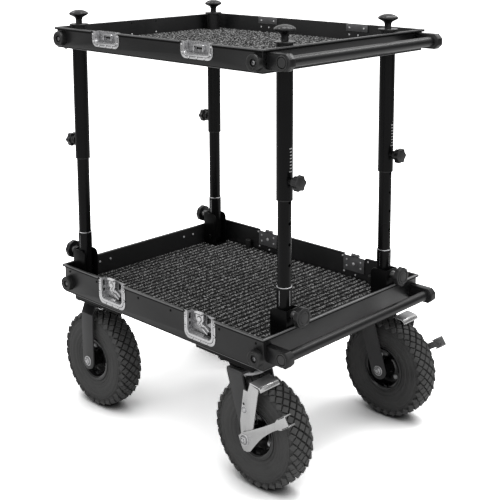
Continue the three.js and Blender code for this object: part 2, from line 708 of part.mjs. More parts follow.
// A twist wing is a bow tie on the spindle; the draw hook stands in front of it.
function twistWing() {
  const half = WING_SPREAD / 2;
  const spread = THREE.MathUtils.radToDeg(Math.asin(half / WING_RADIUS));
  const waist = WING_WAIST / 2;
  const outline = [
    ...arc(0, 0, WING_RADIUS, -spread, spread, 2),
    [SPINDLE_RADIUS, waist + SPINDLE_RADIUS],
    [-SPINDLE_RADIUS, waist + SPINDLE_RADIUS],
    ...arc(0, 0, WING_RADIUS, 180 - spread, 180 + spread, 2),
    [-SPINDLE_RADIUS, -waist - SPINDLE_RADIUS],
    [SPINDLE_RADIUS, -waist - SPINDLE_RADIUS],
  ];
  const plate = plateXZ(outline, 0, WING_THICKNESS);
  return cut(plate, [rod(SPINDLE_RADIUS + GAP, "y", -OVERRUN, WING_THICKNESS + OVERRUN, [0, 0, 0])]);
}

function drawHook() {
  const half = HOOK_WIDTH / 2;
  const top = SPINDLE_DROP + HOOK_RISE;
  const outline = [
    [half, top],
    [-half, top],
    ...arc(0, 0, half, 180, 360, ARC_STEPS * 2),
  ];
  const strap = plateXZ(outline, 0, HOOK_THICKNESS);
  return strap.add(block(-half, half, -HOOK_TAB, HOOK_THICKNESS, top - HOOK_THICKNESS, top));
}

for (const side of SIDES) {
  const label = side < 0 ? "left" : "right";
  addPart(cart, "latch_dish_" + label, latchDish(side * LATCH_X), CHROME);
  addPart(cart, "keeper_dish_" + label, keeperDish(side * LATCH_X), CHROME);
  const z = LOWER_RIM_Z - SPINDLE_DROP;
  const wing = addPart(addGroup(cart, side * LATCH_X, WING_Y, z), "latch_wing_" + label, twistWing(), ZINC);
  wing.rotation.y = THREE.MathUtils.degToRad(-WING_ANGLE);
  addPart(addGroup(cart, side * LATCH_X, HOOK_Y, z), "latch_hook_" + label, drawHook(), CHROME);
}

// Hinge leaves riveted inside the back wall; the lower ones have a knuckle above the rim.
const LEAF_BACK = INNER_Y - GAP;
const LEAF_FACE = LEAF_BACK - LEAF_THICKNESS;

function leaf(x, rimZ, height, drops) {
  const half = LEAF_WIDTH / 2;
  const plate = block(x - half, x + half, LEAF_FACE, LEAF_BACK, rimZ - height, rimZ);
  const across = LEAF_RIVET_SIDE_SHARE * LEAF_WIDTH;
  const rivets = SIDES.flatMap((edge) => drops.map((drop) => {
    const place = [x + edge * across, 0, rimZ - drop * height];
    return head(RIVET_RADIUS, RIVET_HEIGHT, "y", LEAF_FACE, -1, place);
  }));
  return join([plate, ...rivets]);
}

function lowerLeaf(x) {
  const half = KNUCKLE_WIDTH / 2;
  const z = LOWER_RIM_Z + KNUCKLE_RADIUS;
  const knuckle = rod(KNUCKLE_RADIUS, "x", x - half, x + half, [0, LEAF_BACK - KNUCKLE_RADIUS, z]);
  const neck = block(x - half, x + half, LEAF_FACE, LEAF_BACK, LOWER_RIM_Z - OVERRUN, z);
  return join([leaf(x, LOWER_RIM_Z, LOWER_LEAF_HEIGHT, LOWER_LEAF_RIVET_SHARES), knuckle, neck]);
}

for (const side of SIDES) {
  const label = side < 0 ? "left" : "right";
  const x = side * HINGE_X;
  addPart(cart, "lower_hinge_leaf_" + label, lowerLeaf(x), LEAF_STEEL);
  const upper = leaf(x, UPPER_RIM_Z, UPPER_LEAF_HEIGHT, UPPER_LEAF_RIVET_SHARES);
  addPart(cart, "upper_hinge_leaf_" + label, upper, LEAF_STEEL);
}

// Handles: two arms on the end wall and a tube through them, with a plug in each end.
function handle(z) {
  const root = WALL_X + GAP;
  const end = HANDLE_X + HANDLE_ARM_END;
  const half = HANDLE_ARM_HEIGHT / 2;
  const flat = half - HANDLE_ARM_CHAMFER;
  const outline = [
    [root, z - half],
    [end - HANDLE_ARM_CHAMFER, z - half],
    [end, z - flat],
    [end, z + flat],
    [end - HANDLE_ARM_CHAMFER, z + half],
    [root, z + half],
  ];
  const outer = HANDLE_ARM_OUTER_Y;
  const middle = [HANDLE_X, 0, z];
  const arms = SIDES.map((side) => (
    plateXZ(outline, side * (outer - HANDLE_ARM_THICKNESS), side * outer)
  ));
  const plugs = SIDES.map((side) => (
    rod(HANDLE_PLUG_RADIUS, "y", side * (outer - SINK), side * (outer + HANDLE_PLUG_HEAD), middle)
  ));
  const tubeEnd = outer - HANDLE_ARM_THICKNESS / 2;
  return join([...arms, ...plugs, rod(HANDLE_TUBE_RADIUS, "y", -tubeEnd, tubeEnd, middle, SIDES_TUBE)]);
}

addPart(cart, "lower_handle", handle(LOWER_RIM_Z - LOWER_HANDLE_DROP), BLACK_COAT);
addPart(cart, "upper_handle", handle(UPPER_RIM_Z - UPPER_HANDLE_DROP), BLACK_COAT);

// Foot brackets: U-shaped, open inboard and on top, with a pin through the ears.

function footBracket(post) {
  const inboard = -post.outboard * BRACKET_INBOARD;
  const web = post.outboard * (BRACKET_OUTBOARD - BRACKET_SHEET);
  const outer = post.outboard * BRACKET_OUTBOARD;
  const top = BRACKET_Z + BRACKET_HEIGHT;
  const corner = inboard + post.outboard * BRACKET_CORNER;
  const bend = arc(corner, top - BRACKET_CORNER, BRACKET_CORNER, post.outboard > 0 ? 180 : 0, 90);
  const outline = [[outer, BRACKET_Z], [inboard, BRACKET_Z], ...bend, [outer, top]];
  const ears = plateXZ(outline, -BRACKET_OUTER_HALF, BRACKET_OUTER_HALF);
  const inside = block(
    inboard - post.outboard * OVERRUN,
    web,
    -BRACKET_INNER_HALF,
    BRACKET_INNER_HALF,
    BRACKET_Z + BRACKET_SHEET,
    top + OVERRUN,
  );
  const from = web - post.outboard * OVERRUN;
  const to = outer + post.outboard * OVERRUN;
  const knobBore = rod(STUD_RADIUS + GAP, "x", from, to, [0, 0, FOOT_KNOB_Z]);
  const seat = BRACKET_OUTER_HALF;
  const pin = rod(PIVOT_RADIUS, "y", -seat, seat, [0, 0, PIVOT_Z]);
  const heads = SIDES.map((side) => (
    rod(PIVOT_HEAD_RADIUS, "y", side * (seat - SINK), side * (seat + PIVOT_HEAD_HEIGHT), [0, 0, PIVOT_Z])
  ));
  return join([cut(ears, [inside, knobBore]), pin, ...heads]);
}

function deckKnob() {
  const stemTop = DECK_KNOB_STEM_HEIGHT;
  const profile = [
    [0, -DECK_STUD_LENGTH],
    [DECK_STUD_RADIUS, -DECK_STUD_LENGTH],
    [DECK_STUD_RADIUS, 0],
    [DECK_KNOB_STEM_RADIUS, 0],
    [DECK_KNOB_STEM_RADIUS, stemTop],
    [DECK_KNOB_RADIUS - DECK_KNOB_EDGE / 2, stemTop],
    [DECK_KNOB_RADIUS, stemTop + DECK_KNOB_EDGE],
    [DECK_KNOB_RADIUS - DECK_KNOB_EDGE / 3, DECK_KNOB_HEIGHT - DECK_KNOB_EDGE / 3],
    [DECK_KNOB_RADIUS / 2, DECK_KNOB_HEIGHT],
    [0, DECK_KNOB_HEIGHT],
  ];
  return turned(profile, "z", SIDES_TUBE);
}

// Posts: an inner tube held in a foot collar, an outer tube sliding on it and two lock knobs.

function innerPost(outboard) {
  const collarLength = COLLAR_TOP - PIVOT_Z;
  const foot = [
    ...arc(0, 0, COLLAR_RADIUS, 180, 360, ARC_STEPS * 2),
    [COLLAR_RADIUS, collarLength],
    [-COLLAR_RADIUS, collarLength],
  ];
  const round = rod(COLLAR_RADIUS, "z", -COLLAR_RADIUS, collarLength, [0, 0, 0], SIDES_TUBE);
  const collar = plateXZ(foot, -COLLAR_RADIUS, COLLAR_RADIUS).intersect(round);
  const topZ = INNER_TUBE_TOP - PIVOT_Z;
  const bottomZ = INNER_TUBE_BOTTOM - PIVOT_Z;
  const shaft = rod(INNER_TUBE_RADIUS, "z", bottomZ, topZ, [0, 0, 0], SIDES_TUBE);
  const cutters = [
    rod(INNER_TUBE_RADIUS - INNER_TUBE_WALL, "z", bottomZ, topZ + OVERRUN, [0, 0, 0], SIDES_TUBE),
    rod(PIVOT_RADIUS + RUN_GAP, "y", -COLLAR_RADIUS - OVERRUN, COLLAR_RADIUS + OVERRUN, [0, 0, 0]),
  ];
  for (let i = 0; i <= HOLE_STEPS; i += 1) {
    const z = HEIGHT_KNOB_Z - PIVOT_Z - i * HOLE_PITCH;
    const end = outboard * (INNER_TUBE_RADIUS + OVERRUN);
    cutters.push(rod(HOLE_RADIUS, "x", 0, end, [0, 0, z], SIDES_SMALL));
  }
  const slotTop = collarLength - COLLAR_SLOT_TOP;
  const slotFoot = slotTop - COLLAR_SLOT_LENGTH;
  const half = COLLAR_SLOT_WIDTH / 2;
  const depth = COLLAR_RADIUS - COLLAR_SLOT_DEPTH;
  const out = COLLAR_RADIUS + OVERRUN;
  cutters.push(block(-half, half, -out, -depth, slotFoot, slotTop));
  cutters.push(block(outboard * depth, outboard * out, -half, half, slotFoot, slotTop));
  return cut(collar.add(shaft), cutters);
}

function outerTube(outboard) {
  const bottomZ = OUTER_TUBE_BOTTOM - PIVOT_Z;
  const topZ = OUTER_TUBE_TOP - PIVOT_Z;
  const z = HEIGHT_KNOB_Z - PIVOT_Z;
  const bossEnd = outboard * (OUTER_TUBE_RADIUS + BOSS_LENGTH);
  const shell = rod(OUTER_TUBE_RADIUS, "z", bottomZ, topZ, [0, 0, 0], SIDES_TUBE);
  const boss = rod(BOSS_RADIUS, "x", outboard * INNER_TUBE_RADIUS, bossEnd, [0, 0, z]);
  const bore = INNER_TUBE_RADIUS + GAP;
  const plug = topZ - OUTER_PLUG_LENGTH;
  return cut(shell.add(boss), [
    rod(bore, "z", bottomZ - OVERRUN, plug, [0, 0, 0], SIDES_TUBE),
    rod(STUD_RADIUS + GAP, "x", 0, bossEnd + outboard * OVERRUN, [0, 0, z]),
  ]);
}

// Both lock knobs are drawn pointing along +X, from the middle line of the post.

function heightKnob() {
  const neckFoot = OUTER_TUBE_RADIUS + BOSS_LENGTH + RUN_GAP;
  const disc = neckFoot + HEIGHT_KNOB_NECK;
  const star = lobed(HEIGHT_KNOB_RADIUS, HEIGHT_KNOB_LOBE, HEIGHT_KNOB_LOBES);
  const stud = rod(STUD_RADIUS, "x", INNER_TUBE_RADIUS + GAP * 2, disc, [0, 0, 0]);
  const neck = rod(HEIGHT_KNOB_NECK_RADIUS, "x", neckFoot, disc, [0, 0, 0]);
  return join([stud, neck, plateYZ(star, disc, disc + HEIGHT_KNOB_THICKNESS)]);
}

function footKnob() {
  const hubFoot = BRACKET_OUTBOARD + GAP;
  const disc = hubFoot + FOOT_KNOB_HUB_LENGTH;
  const rim = lobed(FOOT_KNOB_RADIUS, FOOT_KNOB_LOBE, FOOT_KNOB_LOBES);
  const stud = rod(STUD_RADIUS, "x", COLLAR_RADIUS + GAP, disc, [0, 0, 0]);
  const hub = rod(FOOT_KNOB_HUB_RADIUS, "x", hubFoot, disc, [0, 0, 0]);
  return join([stud, hub, plateYZ(rim, disc, disc + FOOT_KNOB_THICKNESS)]);
}

for (const post of POSTS) {
  const seat = addGroup(cart, post.x, post.y, 0);
  addPart(seat, "foot_bracket_" + post.name, footBracket(post), BLACK_COAT);
  const foot = addGroup(seat, 0, 0, PIVOT_Z);
  addPart(foot, "inner_post_" + post.name, innerPost(post.outboard), BLACK_TUBE);
  addPart(foot, "outer_tube_" + post.name, outerTube(post.outboard), BLACK_TUBE);
  const lock = addPart(foot, "height_knob_" + post.name, heightKnob(), BLACK_PLASTIC);
  lock.position.z = HEIGHT_KNOB_Z - PIVOT_Z;
  const clamp = addPart(foot, "foot_knob_" + post.name, footKnob(), BLACK_PLASTIC);
  clamp.position.z = FOOT_KNOB_Z - PIVOT_Z;
  for (const knob of [lock, clamp]) {
    knob.rotation.z = post.outboard > 0 ? 0 : Math.PI;
  }
  const cap = addPart(seat, "deck_knob_" + post.name, deckKnob(), BLACK_PLASTIC);
  cap.position.z = SOCKET_TOP_Z + GAP;
}

// Casters. The two at -X are fixed, the two at +X swivel and have a brake.

function mountPlate(side) {
  const outer = WALL_X - MOUNT_PLATE_END_INSET;
  const half = WALL_Y - MOUNT_PLATE_SIDE_INSET;
  const top = MOUNT_PLATE_Z + MOUNT_PLATE_THICKNESS;
  return block(side * (outer - MOUNT_PLATE_LENGTH), side * outer, -half, half, MOUNT_PLATE_Z, top);
}

// A caster's top plate with its four bolts below.
function topPlate(top) {
  const alongX = TOP_PLATE_LENGTH / 2;
  const alongY = TOP_PLATE_WIDTH / 2;
  const plate = block(-alongX, alongX, -alongY, alongY, TOP_PLATE_Z, top);
  const bolts = SIDES.flatMap((end) => SIDES.map((side) => {
    const place = [end * (alongX - MOUNT_BOLT_MARGIN), side * (alongY - MOUNT_BOLT_MARGIN), 0];
    return head(MOUNT_BOLT_RADIUS, MOUNT_BOLT_HEIGHT, "z", TOP_PLATE_Z, -1, place);
  }));
  return join([plate, ...bolts]);
}

function swivelRace(side) {
  const race = rod(RACE_RADIUS, "z", RACE_Z, TOP_PLATE_Z + SINK, [0, 0, 0], SIDES_TUBE);
  return topPlate(MOUNT_PLATE_Z + SINK).add(race).translate([CASTER_X, side * CASTER_Y, 0]);
}

addPart(cart, "mount_plate_left", mountPlate(-1), BLACK_COAT);
addPart(cart, "mount_plate_right", join([mountPlate(1), ...SIDES.map(swivelRace)]), BLACK_COAT);

// A fork is a bent sheet: its side view is crossed with its end view.
function forkSheet(crownTop, crownHalf, trail) {
  const shoulder = crownTop - FORK_SHOULDER_DROP;
  const outerTop = FORK_OUTER_HALF - FORK_SHOULDER_IN;
  const innerTop = FORK_INNER_HALF - FORK_SHOULDER_IN;
  const low = AXLE_Z - FORK_LEG_WIDTH;
  const endView = [
    [-FORK_OUTER_HALF, low],
    [-FORK_INNER_HALF, low],
    [-FORK_INNER_HALF, shoulder],
    [-innerTop, crownTop - CROWN_THICKNESS],
    [innerTop, crownTop - CROWN_THICKNESS],
    [FORK_INNER_HALF, shoulder],
    [FORK_INNER_HALF, low],
    [FORK_OUTER_HALF, low],
    [FORK_OUTER_HALF, shoulder],
    [outerTop, crownTop],
    [-outerTop, crownTop],
    [-FORK_OUTER_HALF, shoulder],
  ];
  const half = FORK_LEG_WIDTH / 2;
  const sideView = [
    ...arc(trail, AXLE_Z, half, 180, 360, ARC_STEPS * 2),
    [crownHalf, crownTop],
    [-crownHalf, crownTop],
  ];
  const reach = trail + FORK_LEG_WIDTH;
  const legs = plateXZ(sideView, -FORK_OUTER_HALF, FORK_OUTER_HALF);
  return legs.intersect(plateYZ(endView, -reach, reach));
}

function axleBolt(from, to) {
  return join([
    rod(AXLE_RADIUS, "y", from, to, [0, 0, 0]),
    rod(AXLE_HEAD_RADIUS, "y", from - AXLE_HEAD_HEIGHT, from, [0, 0, 0], SIDES_SMALL),
    rod(AXLE_HEAD_RADIUS, "y", to, to + AXLE_HEAD_HEIGHT, [0, 0, 0], SIDES_SMALL),
  ]);
}

function fixedFork() {
  const top = TOP_PLATE_Z + TOP_PLATE_THICKNESS;
  const axle = axleBolt(-FORK_OUTER_HALF, FORK_OUTER_HALF).translate([0, 0, AXLE_Z]);
  return join([forkSheet(top, FORK_LEG_WIDTH / 2, 0), topPlate(top), axle]);
}

const BRAKE_PLATE_IN = FORK_OUTER_HALF + BRAKE_SPACER;
const LEVER_IN = BRAKE_PLATE_IN + BRAKE_SHEET + BRAKE_LEVER_SPACER;

// The swivel fork carries its axle and, on the braked side, the spacer under the shoe's plate.
function swivelFork(side) {
  const top = CROWN_Z + CROWN_THICKNESS;
  const crown = rod(FORK_OUTER_HALF - FORK_SHOULDER_IN, "z", CROWN_Z, top, [0, 0, 0], SIDES_TUBE);
  const braked = LEVER_IN + BRAKE_SHEET + RUN_GAP;
  const axle = side > 0 ? axleBolt(-FORK_OUTER_HALF, braked) : axleBolt(-braked, FORK_OUTER_HALF);
  const spacer = rod(
    BRAKE_SPACER_RADIUS,
    "y",
    side * FORK_INNER_HALF,
    side * (BRAKE_PLATE_IN - RUN_GAP),
    [TRAIL, 0, AXLE_Z],
  );
  const sheet = forkSheet(top, FORK_LEG_WIDTH / 2, TRAIL);
  return join([sheet, crown, spacer, axle.translate([TRAIL, 0, AXLE_Z])]);
}

// Wheels: a two-part steel rim with its hub, and a tyre open towards the rim.

function mirrored(half) {
  const lower = half.map(([radius, y]) => [radius, -y]);
  return [...lower, ...half.slice().reverse()];
}

function wheelRim() {
  const well = RIM_RADIUS - RIM_WELL_DEPTH;
  const seat = RIM_RADIUS - RIM_SEAT_DEPTH;
  const disc = WHEEL_DISC_THICKNESS / 2;
  const flange = RIM_HALF_WIDTH - RIM_SHEET;
  const half = [
    [AXLE_RADIUS + RUN_GAP, HUB_HALF_LENGTH],
    [HUB_RADIUS, HUB_HALF_LENGTH],
    [HUB_RADIUS, disc],
    [well - RIM_SHEET, disc],
    [well - RIM_SHEET, RIM_WELL_HALF_WIDTH],
    [seat - RIM_SHEET, RIM_HALF_WIDTH],
    [RIM_RADIUS, RIM_HALF_WIDTH],
    [RIM_RADIUS, flange],
    [seat, flange],
    [well, RIM_WELL_HALF_WIDTH],
  ];
  const profile = mirrored(half);
  const rim = turned([...profile, profile[0]], "y", SIDES_TUBE);
  const bolts = [];
  for (let i = 0; i < WHEEL_BOLTS; i += 1) {
    const angle = (2 * Math.PI * (i + 1 / 2)) / WHEEL_BOLTS;
    const centre = [WHEEL_BOLT_CIRCLE * Math.cos(angle), 0, WHEEL_BOLT_CIRCLE * Math.sin(angle)];
    const end = disc + WHEEL_BOLT_HEIGHT;
    bolts.push(rod(WHEEL_BOLT_RADIUS, "y", -end, end, centre, SIDES_SMALL));
  }
  return join([rim, ...bolts]);
}

// The facets' flats, not their corners, lie at the wheel's radius, and one of them faces down.
function wheelTyre() {
  const bead = RIM_RADIUS - RIM_SEAT_DEPTH + GAP;
  const beadOut = RIM_HALF_WIDTH - RIM_SHEET - GAP * 2;
  const full = WHEEL_RADIUS / Math.cos(Math.PI / SIDES_WHEEL);
  const height = full - RIM_RADIUS;
  const wide = TYRE_HALF_WIDTH;
  const outside = [
    [bead, beadOut],
    [RIM_RADIUS + GAP * 2, RIM_HALF_WIDTH - RIM_SHEET - GAP * 2],
    [RIM_RADIUS + height / 3, wide],
    [full - TREAD_DEPTH * 4, wide - TYRE_WALL / 3],
    [full - TREAD_DEPTH, wide - TYRE_WALL * 2],
    [full, TYRE_WALL],
  ];
  const inside = [
    [bead, beadOut - TYRE_WALL],
    [RIM_RADIUS + height / 3, wide - TYRE_WALL],
    [full - TYRE_WALL * 2, wide / 2],
  ];
  const back = inside.map(([radius, y]) => [radius, -y]).reverse();
  const profile = [...mirrored(outside), ...inside, ...back];
  const ring = turned([...profile, profile[0]], "y", SIDES_WHEEL);
  return ring.rotate([0, 180 / SIDES_WHEEL, 0]);
}

// The brake shoe: a plate beside the wheel, slotted over the axle, and a bent plate over the tyre.
function brakeShoe(side) {
  const low = SHOE_RISE - SHOE_DROP;
  const outline = [
    [SHOE_LEAD, SHOE_RISE],
    ...SHOE_PLATE_SHARES.map(([across, up]) => [across * SHOE_PLATE_WIDTH, up * SHOE_RISE]),
    [SHOE_LEAD + SHOE_DEPTH * 0.8, low],
  ];
  const near = BRAKE_PLATE_IN;
  const far = near + BRAKE_SHEET;
  const plate = plateXZ(outline, side * near, side * far);
  const end = SHOE_LEAD + SHOE_DEPTH;
  const cover = plateXZ([
    [SHOE_LEAD, SHOE_RISE - BRAKE_SHEET],
    [end - BRAKE_SHEET, low - BRAKE_SHEET],
    [end - BRAKE_SHEET, low - SHOE_LIP],
    [end, low - SHOE_LIP],
    [end, low],
    [SHOE_LEAD, SHOE_RISE],
  ], side * far, side * (far - SHOE_REACH));
  const bore = AXLE_RADIUS + RUN_GAP;
  const from = side * (near - OVERRUN);
  const to = side * (far + OVERRUN);
  return cut(plate.add(cover), [
    rod(bore, "y", from, to, [0, 0, 0]),
    rod(bore, "y", from, to, [0, 0, SHOE_TRAVEL]),
    block(-bore, bore, from, to, 0, SHOE_TRAVEL),
  ]);
}

function brakeLever(side) {
  const outline = LEVER_OUTLINE_SHARES.map(([along, across]) => (
    [along * LEVER_LENGTH, across * LEVER_BASE_RADIUS]
  ));
  const near = LEVER_IN;
  const far = near + BRAKE_SHEET;
  const flanges = SIDES.map((edge) => {
    const start = LEVER_HEAD_SHARE * LEVER_LENGTH;
    const outer = edge * LEVER_HEAD_HALF_WIDTH;
    const inner = outer - edge * BRAKE_SHEET;
    return block(start, LEVER_LENGTH, side * (far - LEVER_FLANGE), side * far, inner, outer);
  });
  const blank = join([plateXZ(outline, side * near, side * far), ...flanges]);
  const from = side * (near - OVERRUN);
  return cut(blank, [rod(AXLE_RADIUS + RUN_GAP, "y", from, side * (far + OVERRUN), [0, 0, 0])]);
}

for (const side of SIDES) {
  const label = side < 0 ? "_front" : "_back";
  const swivel = addGroup(cart, CASTER_X, side * CASTER_Y, 0);
  addPart(swivel, "swivel_fork" + label, swivelFork(side), FORK_PAINT);
  const swivelHub = addGroup(swivel, TRAIL, 0, AXLE_Z);
  addPart(swivelHub, "swivel_rim" + label, wheelRim(), GLOSS_BLACK);
  addPart(swivelHub, "swivel_tyre" + label, wheelTyre(), TYRE_RUBBER);
  addPart(swivelHub, "brake_shoe" + label, brakeShoe(side), ZINC);
  const lever = addPart(swivelHub, "brake_lever" + label, brakeLever(side), ZINC);
  lever.rotation.y = THREE.MathUtils.degToRad(-LEVER_ANGLE);
  const fixed = addGroup(cart, -CASTER_X, side * CASTER_Y, 0);
  addPart(fixed, "fixed_fork" + label, fixedFork(), FORK_PAINT);
  const fixedHub = addGroup(fixed, 0, 0, AXLE_Z);
  addPart(fixedHub, "fixed_rim" + label, wheelRim(), GLOSS_BLACK);
  addPart(fixedHub, "fixed_tyre" + label, wheelTyre(), TYRE_RUBBER);
}

export default cart;
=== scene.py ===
import math

import bpy
from mathutils import Matrix, Vector


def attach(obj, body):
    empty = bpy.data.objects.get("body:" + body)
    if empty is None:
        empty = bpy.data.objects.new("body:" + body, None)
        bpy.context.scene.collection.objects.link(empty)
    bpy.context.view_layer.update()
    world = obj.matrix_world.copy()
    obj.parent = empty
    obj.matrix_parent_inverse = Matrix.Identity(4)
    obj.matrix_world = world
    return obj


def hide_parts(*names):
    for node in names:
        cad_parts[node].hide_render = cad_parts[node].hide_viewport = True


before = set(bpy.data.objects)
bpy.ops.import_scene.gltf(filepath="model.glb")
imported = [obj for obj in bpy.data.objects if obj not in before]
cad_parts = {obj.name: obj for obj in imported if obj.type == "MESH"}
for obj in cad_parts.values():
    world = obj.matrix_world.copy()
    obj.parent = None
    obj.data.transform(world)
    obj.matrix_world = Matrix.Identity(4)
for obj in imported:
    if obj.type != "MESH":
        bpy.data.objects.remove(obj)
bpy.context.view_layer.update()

# The studio: a white floor in a white room, four soft boxes, two grey cards that only reflections
# see, and a camera at the photograph's height and angle. The sizes of this section are in metres.
scene = bpy.context.scene
scene.view_settings.view_transform = "Standard"

lens = bpy.data.cameras.new("studio_camera")
lens.sensor_width = 36
lens.lens = 72.874
lens.shift_y = -0.3243
lens.clip_end = 50
camera = bpy.data.objects.new("studio_camera", lens)
scene.collection.objects.link(camera)
camera.rotation_mode = "XYZ"
camera.location = (1.8592, -1.8695, 1.2990)
CAMERA_ROLL = -0.187
CAMERA_TILT = 81.039
CAMERA_HEADING = 44.077


def turn(angle, axis):
    return Matrix.Rotation(math.radians(angle), 4, axis)


aim = turn(CAMERA_HEADING, "Z") @ turn(CAMERA_TILT, "X") @ turn(CAMERA_ROLL, "Z")
camera.rotation_euler = aim.to_euler("XYZ")
scene.camera = camera

LIT_POINT = Vector((0, 0, 0.6))
for name, place, size, power in (
    ("key_soft_box", (0.6, 0.5, 3.4), 1.4, 38),
    ("front_soft_box", (0.4, -3.2, 2.6), 1.8, 12),
    ("left_soft_box", (-2.0, -0.3, 2.9), 0.6, 11),
    ("back_soft_box", (0.6, 2.2, 2.8), 0.6, 9),
):
    light = bpy.data.lights.new(name, "AREA")
    light.shape = "RECTANGLE"
    light.size = size
    light.size_y = size
    light.energy = power
    lamp = bpy.data.objects.new(name, light)
    scene.collection.objects.link(lamp)
    lamp.location = place
    lamp.rotation_euler = (LIT_POINT - Vector(place)).to_track_quat("-Z", "Y").to_euler()


def grey(level, blue=None):
    """A neutral colour, or one whose blue is a little off."""
    return (level, level, level if blue is None else blue, 1)


def emptied(owner):
    """The node tree of a world or a material, without the nodes that it starts with."""
    owner.use_nodes = True
    owner.node_tree.nodes.clear()
    return owner.node_tree


def wired(tree, node, inputs):
    """Sets a node's sockets; where another node's socket is given, the two are linked."""
    for label, value in inputs.items():
        if isinstance(value, bpy.types.NodeSocket):
            tree.links.new(value, node.inputs[label])
        else:
            node.inputs[label].default_value = value


def added(tree, kind, inputs=None, **settings):
    """A new node with its settings and its sockets."""
    node = tree.nodes.new("ShaderNode" + kind)
    for label, value in settings.items():
        setattr(node, label, value)
    wired(tree, node, inputs or {})
    return node


room = bpy.data.worlds.new("white_room")
scene.world = room
tree = emptied(room)
seen = added(tree, "Background", {"Color": grey(1)})
ambient = added(tree, "Background", {"Color": grey(0.68)})
rays = added(tree, "LightPath").outputs
glossy = added(tree, "Math", {0: rays["Is Camera Ray"], 1: rays["Is Glossy Ray"]}, operation="MAXIMUM")
through = added(tree, "Math", {0: glossy.outputs[0], 1: rays["Is Transmission Ray"]},
                operation="MAXIMUM")
choice = added(tree, "MixShader", {"Fac": through.outputs[0], 1: ambient.outputs[0], 2: seen.outputs[0]})
added(tree, "OutputWorld", {"Surface": choice.outputs[0]})

bpy.ops.object.select_all(action="DESELECT")
bpy.ops.mesh.primitive_plane_add(size=60, location=(0, 0, 0))
floor = bpy.context.object
floor.name = "studio_floor"
paper = bpy.data.materials.new("white_paper")
tree = emptied(paper)
matt = added(tree, "BsdfDiffuse", {"Color": grey(0.86)})
# Camera rays see the floor's colour fall with ambient occlusion near the cart: painted contact shade.
painted_contact_shade_ao = added(tree, "AmbientOcclusion", {"Distance": 0.3})
depth = added(tree, "MapRange",
              {"Value": painted_contact_shade_ao.outputs["AO"], "From Min": 0.1, "From Max": 1.0, "To Min": 0.04, "To Max": 3.0},
              interpolation_type="SMOOTHSTEP")
bright = added(tree, "BsdfDiffuse", {"Color": depth.outputs["Result"]})
rays = added(tree, "LightPath").outputs
choice = added(tree, "MixShader", {"Fac": rays["Is Camera Ray"], 1: matt.outputs[0], 2: bright.outputs[0]})
added(tree, "OutputMaterial", {"Surface": choice.outputs[0]})
floor.data.materials.append(paper)

for name, place, level in (("front_flag", (-2.6, -2.8, 1.35), 0.33), ("back_flag", (2.6, 2.8, 1.35), 0.16)):
    bpy.ops.mesh.primitive_plane_add(size=1, location=(0, 0, 0))
    flag = bpy.context.object
    flag.name = name
    flag.scale = (3.6, 2.6, 1)
    flag.location = place
    flag.rotation_euler = (math.pi / 2, 0, math.atan2(place[1], place[0]) + math.pi / 2)
    card = bpy.data.materials.new(name)
    tree = emptied(card)
    glow = added(tree, "Emission", {"Color": grey(level)})
    added(tree, "OutputMaterial", {"Surface": glow.outputs[0]})
    flag.data.materials.append(card)
    flag.visible_camera = False
    flag.visible_diffuse = False
    flag.visible_transmission = False
    flag.visible_shadow = False

# Trays: welded aluminium sheet with a turned-out rim lip and a turned-in bottom flange, powder
# coated satin black. Rubber bumpers are screwed to the long walls; rivets are bright, most screws
# dark. Sizes from here on are in millimetres.
MM = 0.001
RIM_X, RIM_Y = 381, 303
WALL_X, WALL_Y = 376, 298
INNER_X, INNER_Y = 373, 295
LIP, SHEET, FLANGE = 6, 3, 34
LOWER_RIM, LOWER_BOTTOM, LOWER_FLOOR, LOWER_PAN = 386, 308, 326.3, 54
UPPER_RIM, UPPER_BOTTOM, UPPER_FLOOR, UPPER_PAN = 1042, 988, 995, 28
LATCH_X, PAN_HALF, BRIM_HALF, PLAY = 168, 42, 54, 0.4
LEAF_X, LEAF_GAP, UPSTAND_END = (-162, 168), 38, 245
BUMPER_X, LOWER_BUMPER_Z, UPPER_BUMPER_Z = 357, 336, 1012
REST_X, REST_Y = 236, 285
POST_X, POST_Y = 345, {-1: 249, 1: 193}
SIDES = (-1, 1)
ENDS = {-1: "left", 1: "right"}
FLANKS = {-1: "front", 1: "back"}


def new_group(name, colours, numbers, results):
    """A shader group with its sockets; returns the group and what its inputs give inside it."""
    group = bpy.data.node_groups.new(name, "ShaderNodeTree")
    for in_out, labels in (("INPUT", colours + numbers), ("OUTPUT", results)):
        for label in labels:
            kind = "NodeSocketColor" if "Colour" in label else "NodeSocketFloat"
            group.interface.new_socket(label, in_out=in_out, socket_type=kind)
    return group, group.nodes.new("NodeGroupInput").outputs


def blended(group, given, share, height, limits):
    """Gives out the two colours and roughnesses blended by a share, and the height as it is."""
    colour = added(group, "Mix", {"Factor": share, "A": given["Colour"], "B": given["Second Colour"]},
                   data_type="RGBA")
    gloss = added(group, "MapRange", {"Value": share, "From Min": limits[0], "From Max": limits[1],
                                      "To Min": given["Low Roughness"], "To Max": given["High Roughness"]})
    wired(group, group.nodes.new("NodeGroupOutput"),
          {"Colour": colour.outputs["Result"], "Roughness": gloss.outputs["Result"], "Height": height})
    return group


def surface_grain_group():
    """Soft unevenness of a coat or a moulding: a varied colour, a varied gloss and a fine relief."""
    group, given = new_group("surface_grain", ("Colour", "Second Colour"),
                             ("Grain Scale", "Cloud Scale", "Low Roughness", "High Roughness"),
                             ("Colour", "Roughness", "Height"))
    place = added(group, "TexCoord").outputs["Object"]
    grain = added(group, "TexNoise", {"Vector": place, "Scale": given["Grain Scale"], "Detail": 3})
    clouds = added(group, "TexNoise", {"Vector": place, "Scale": given["Cloud Scale"], "Detail": 4})
    return blended(group, given, clouds.outputs["Fac"], grain.outputs["Fac"], (0.3, 0.7))


surface_grain = surface_grain_group()


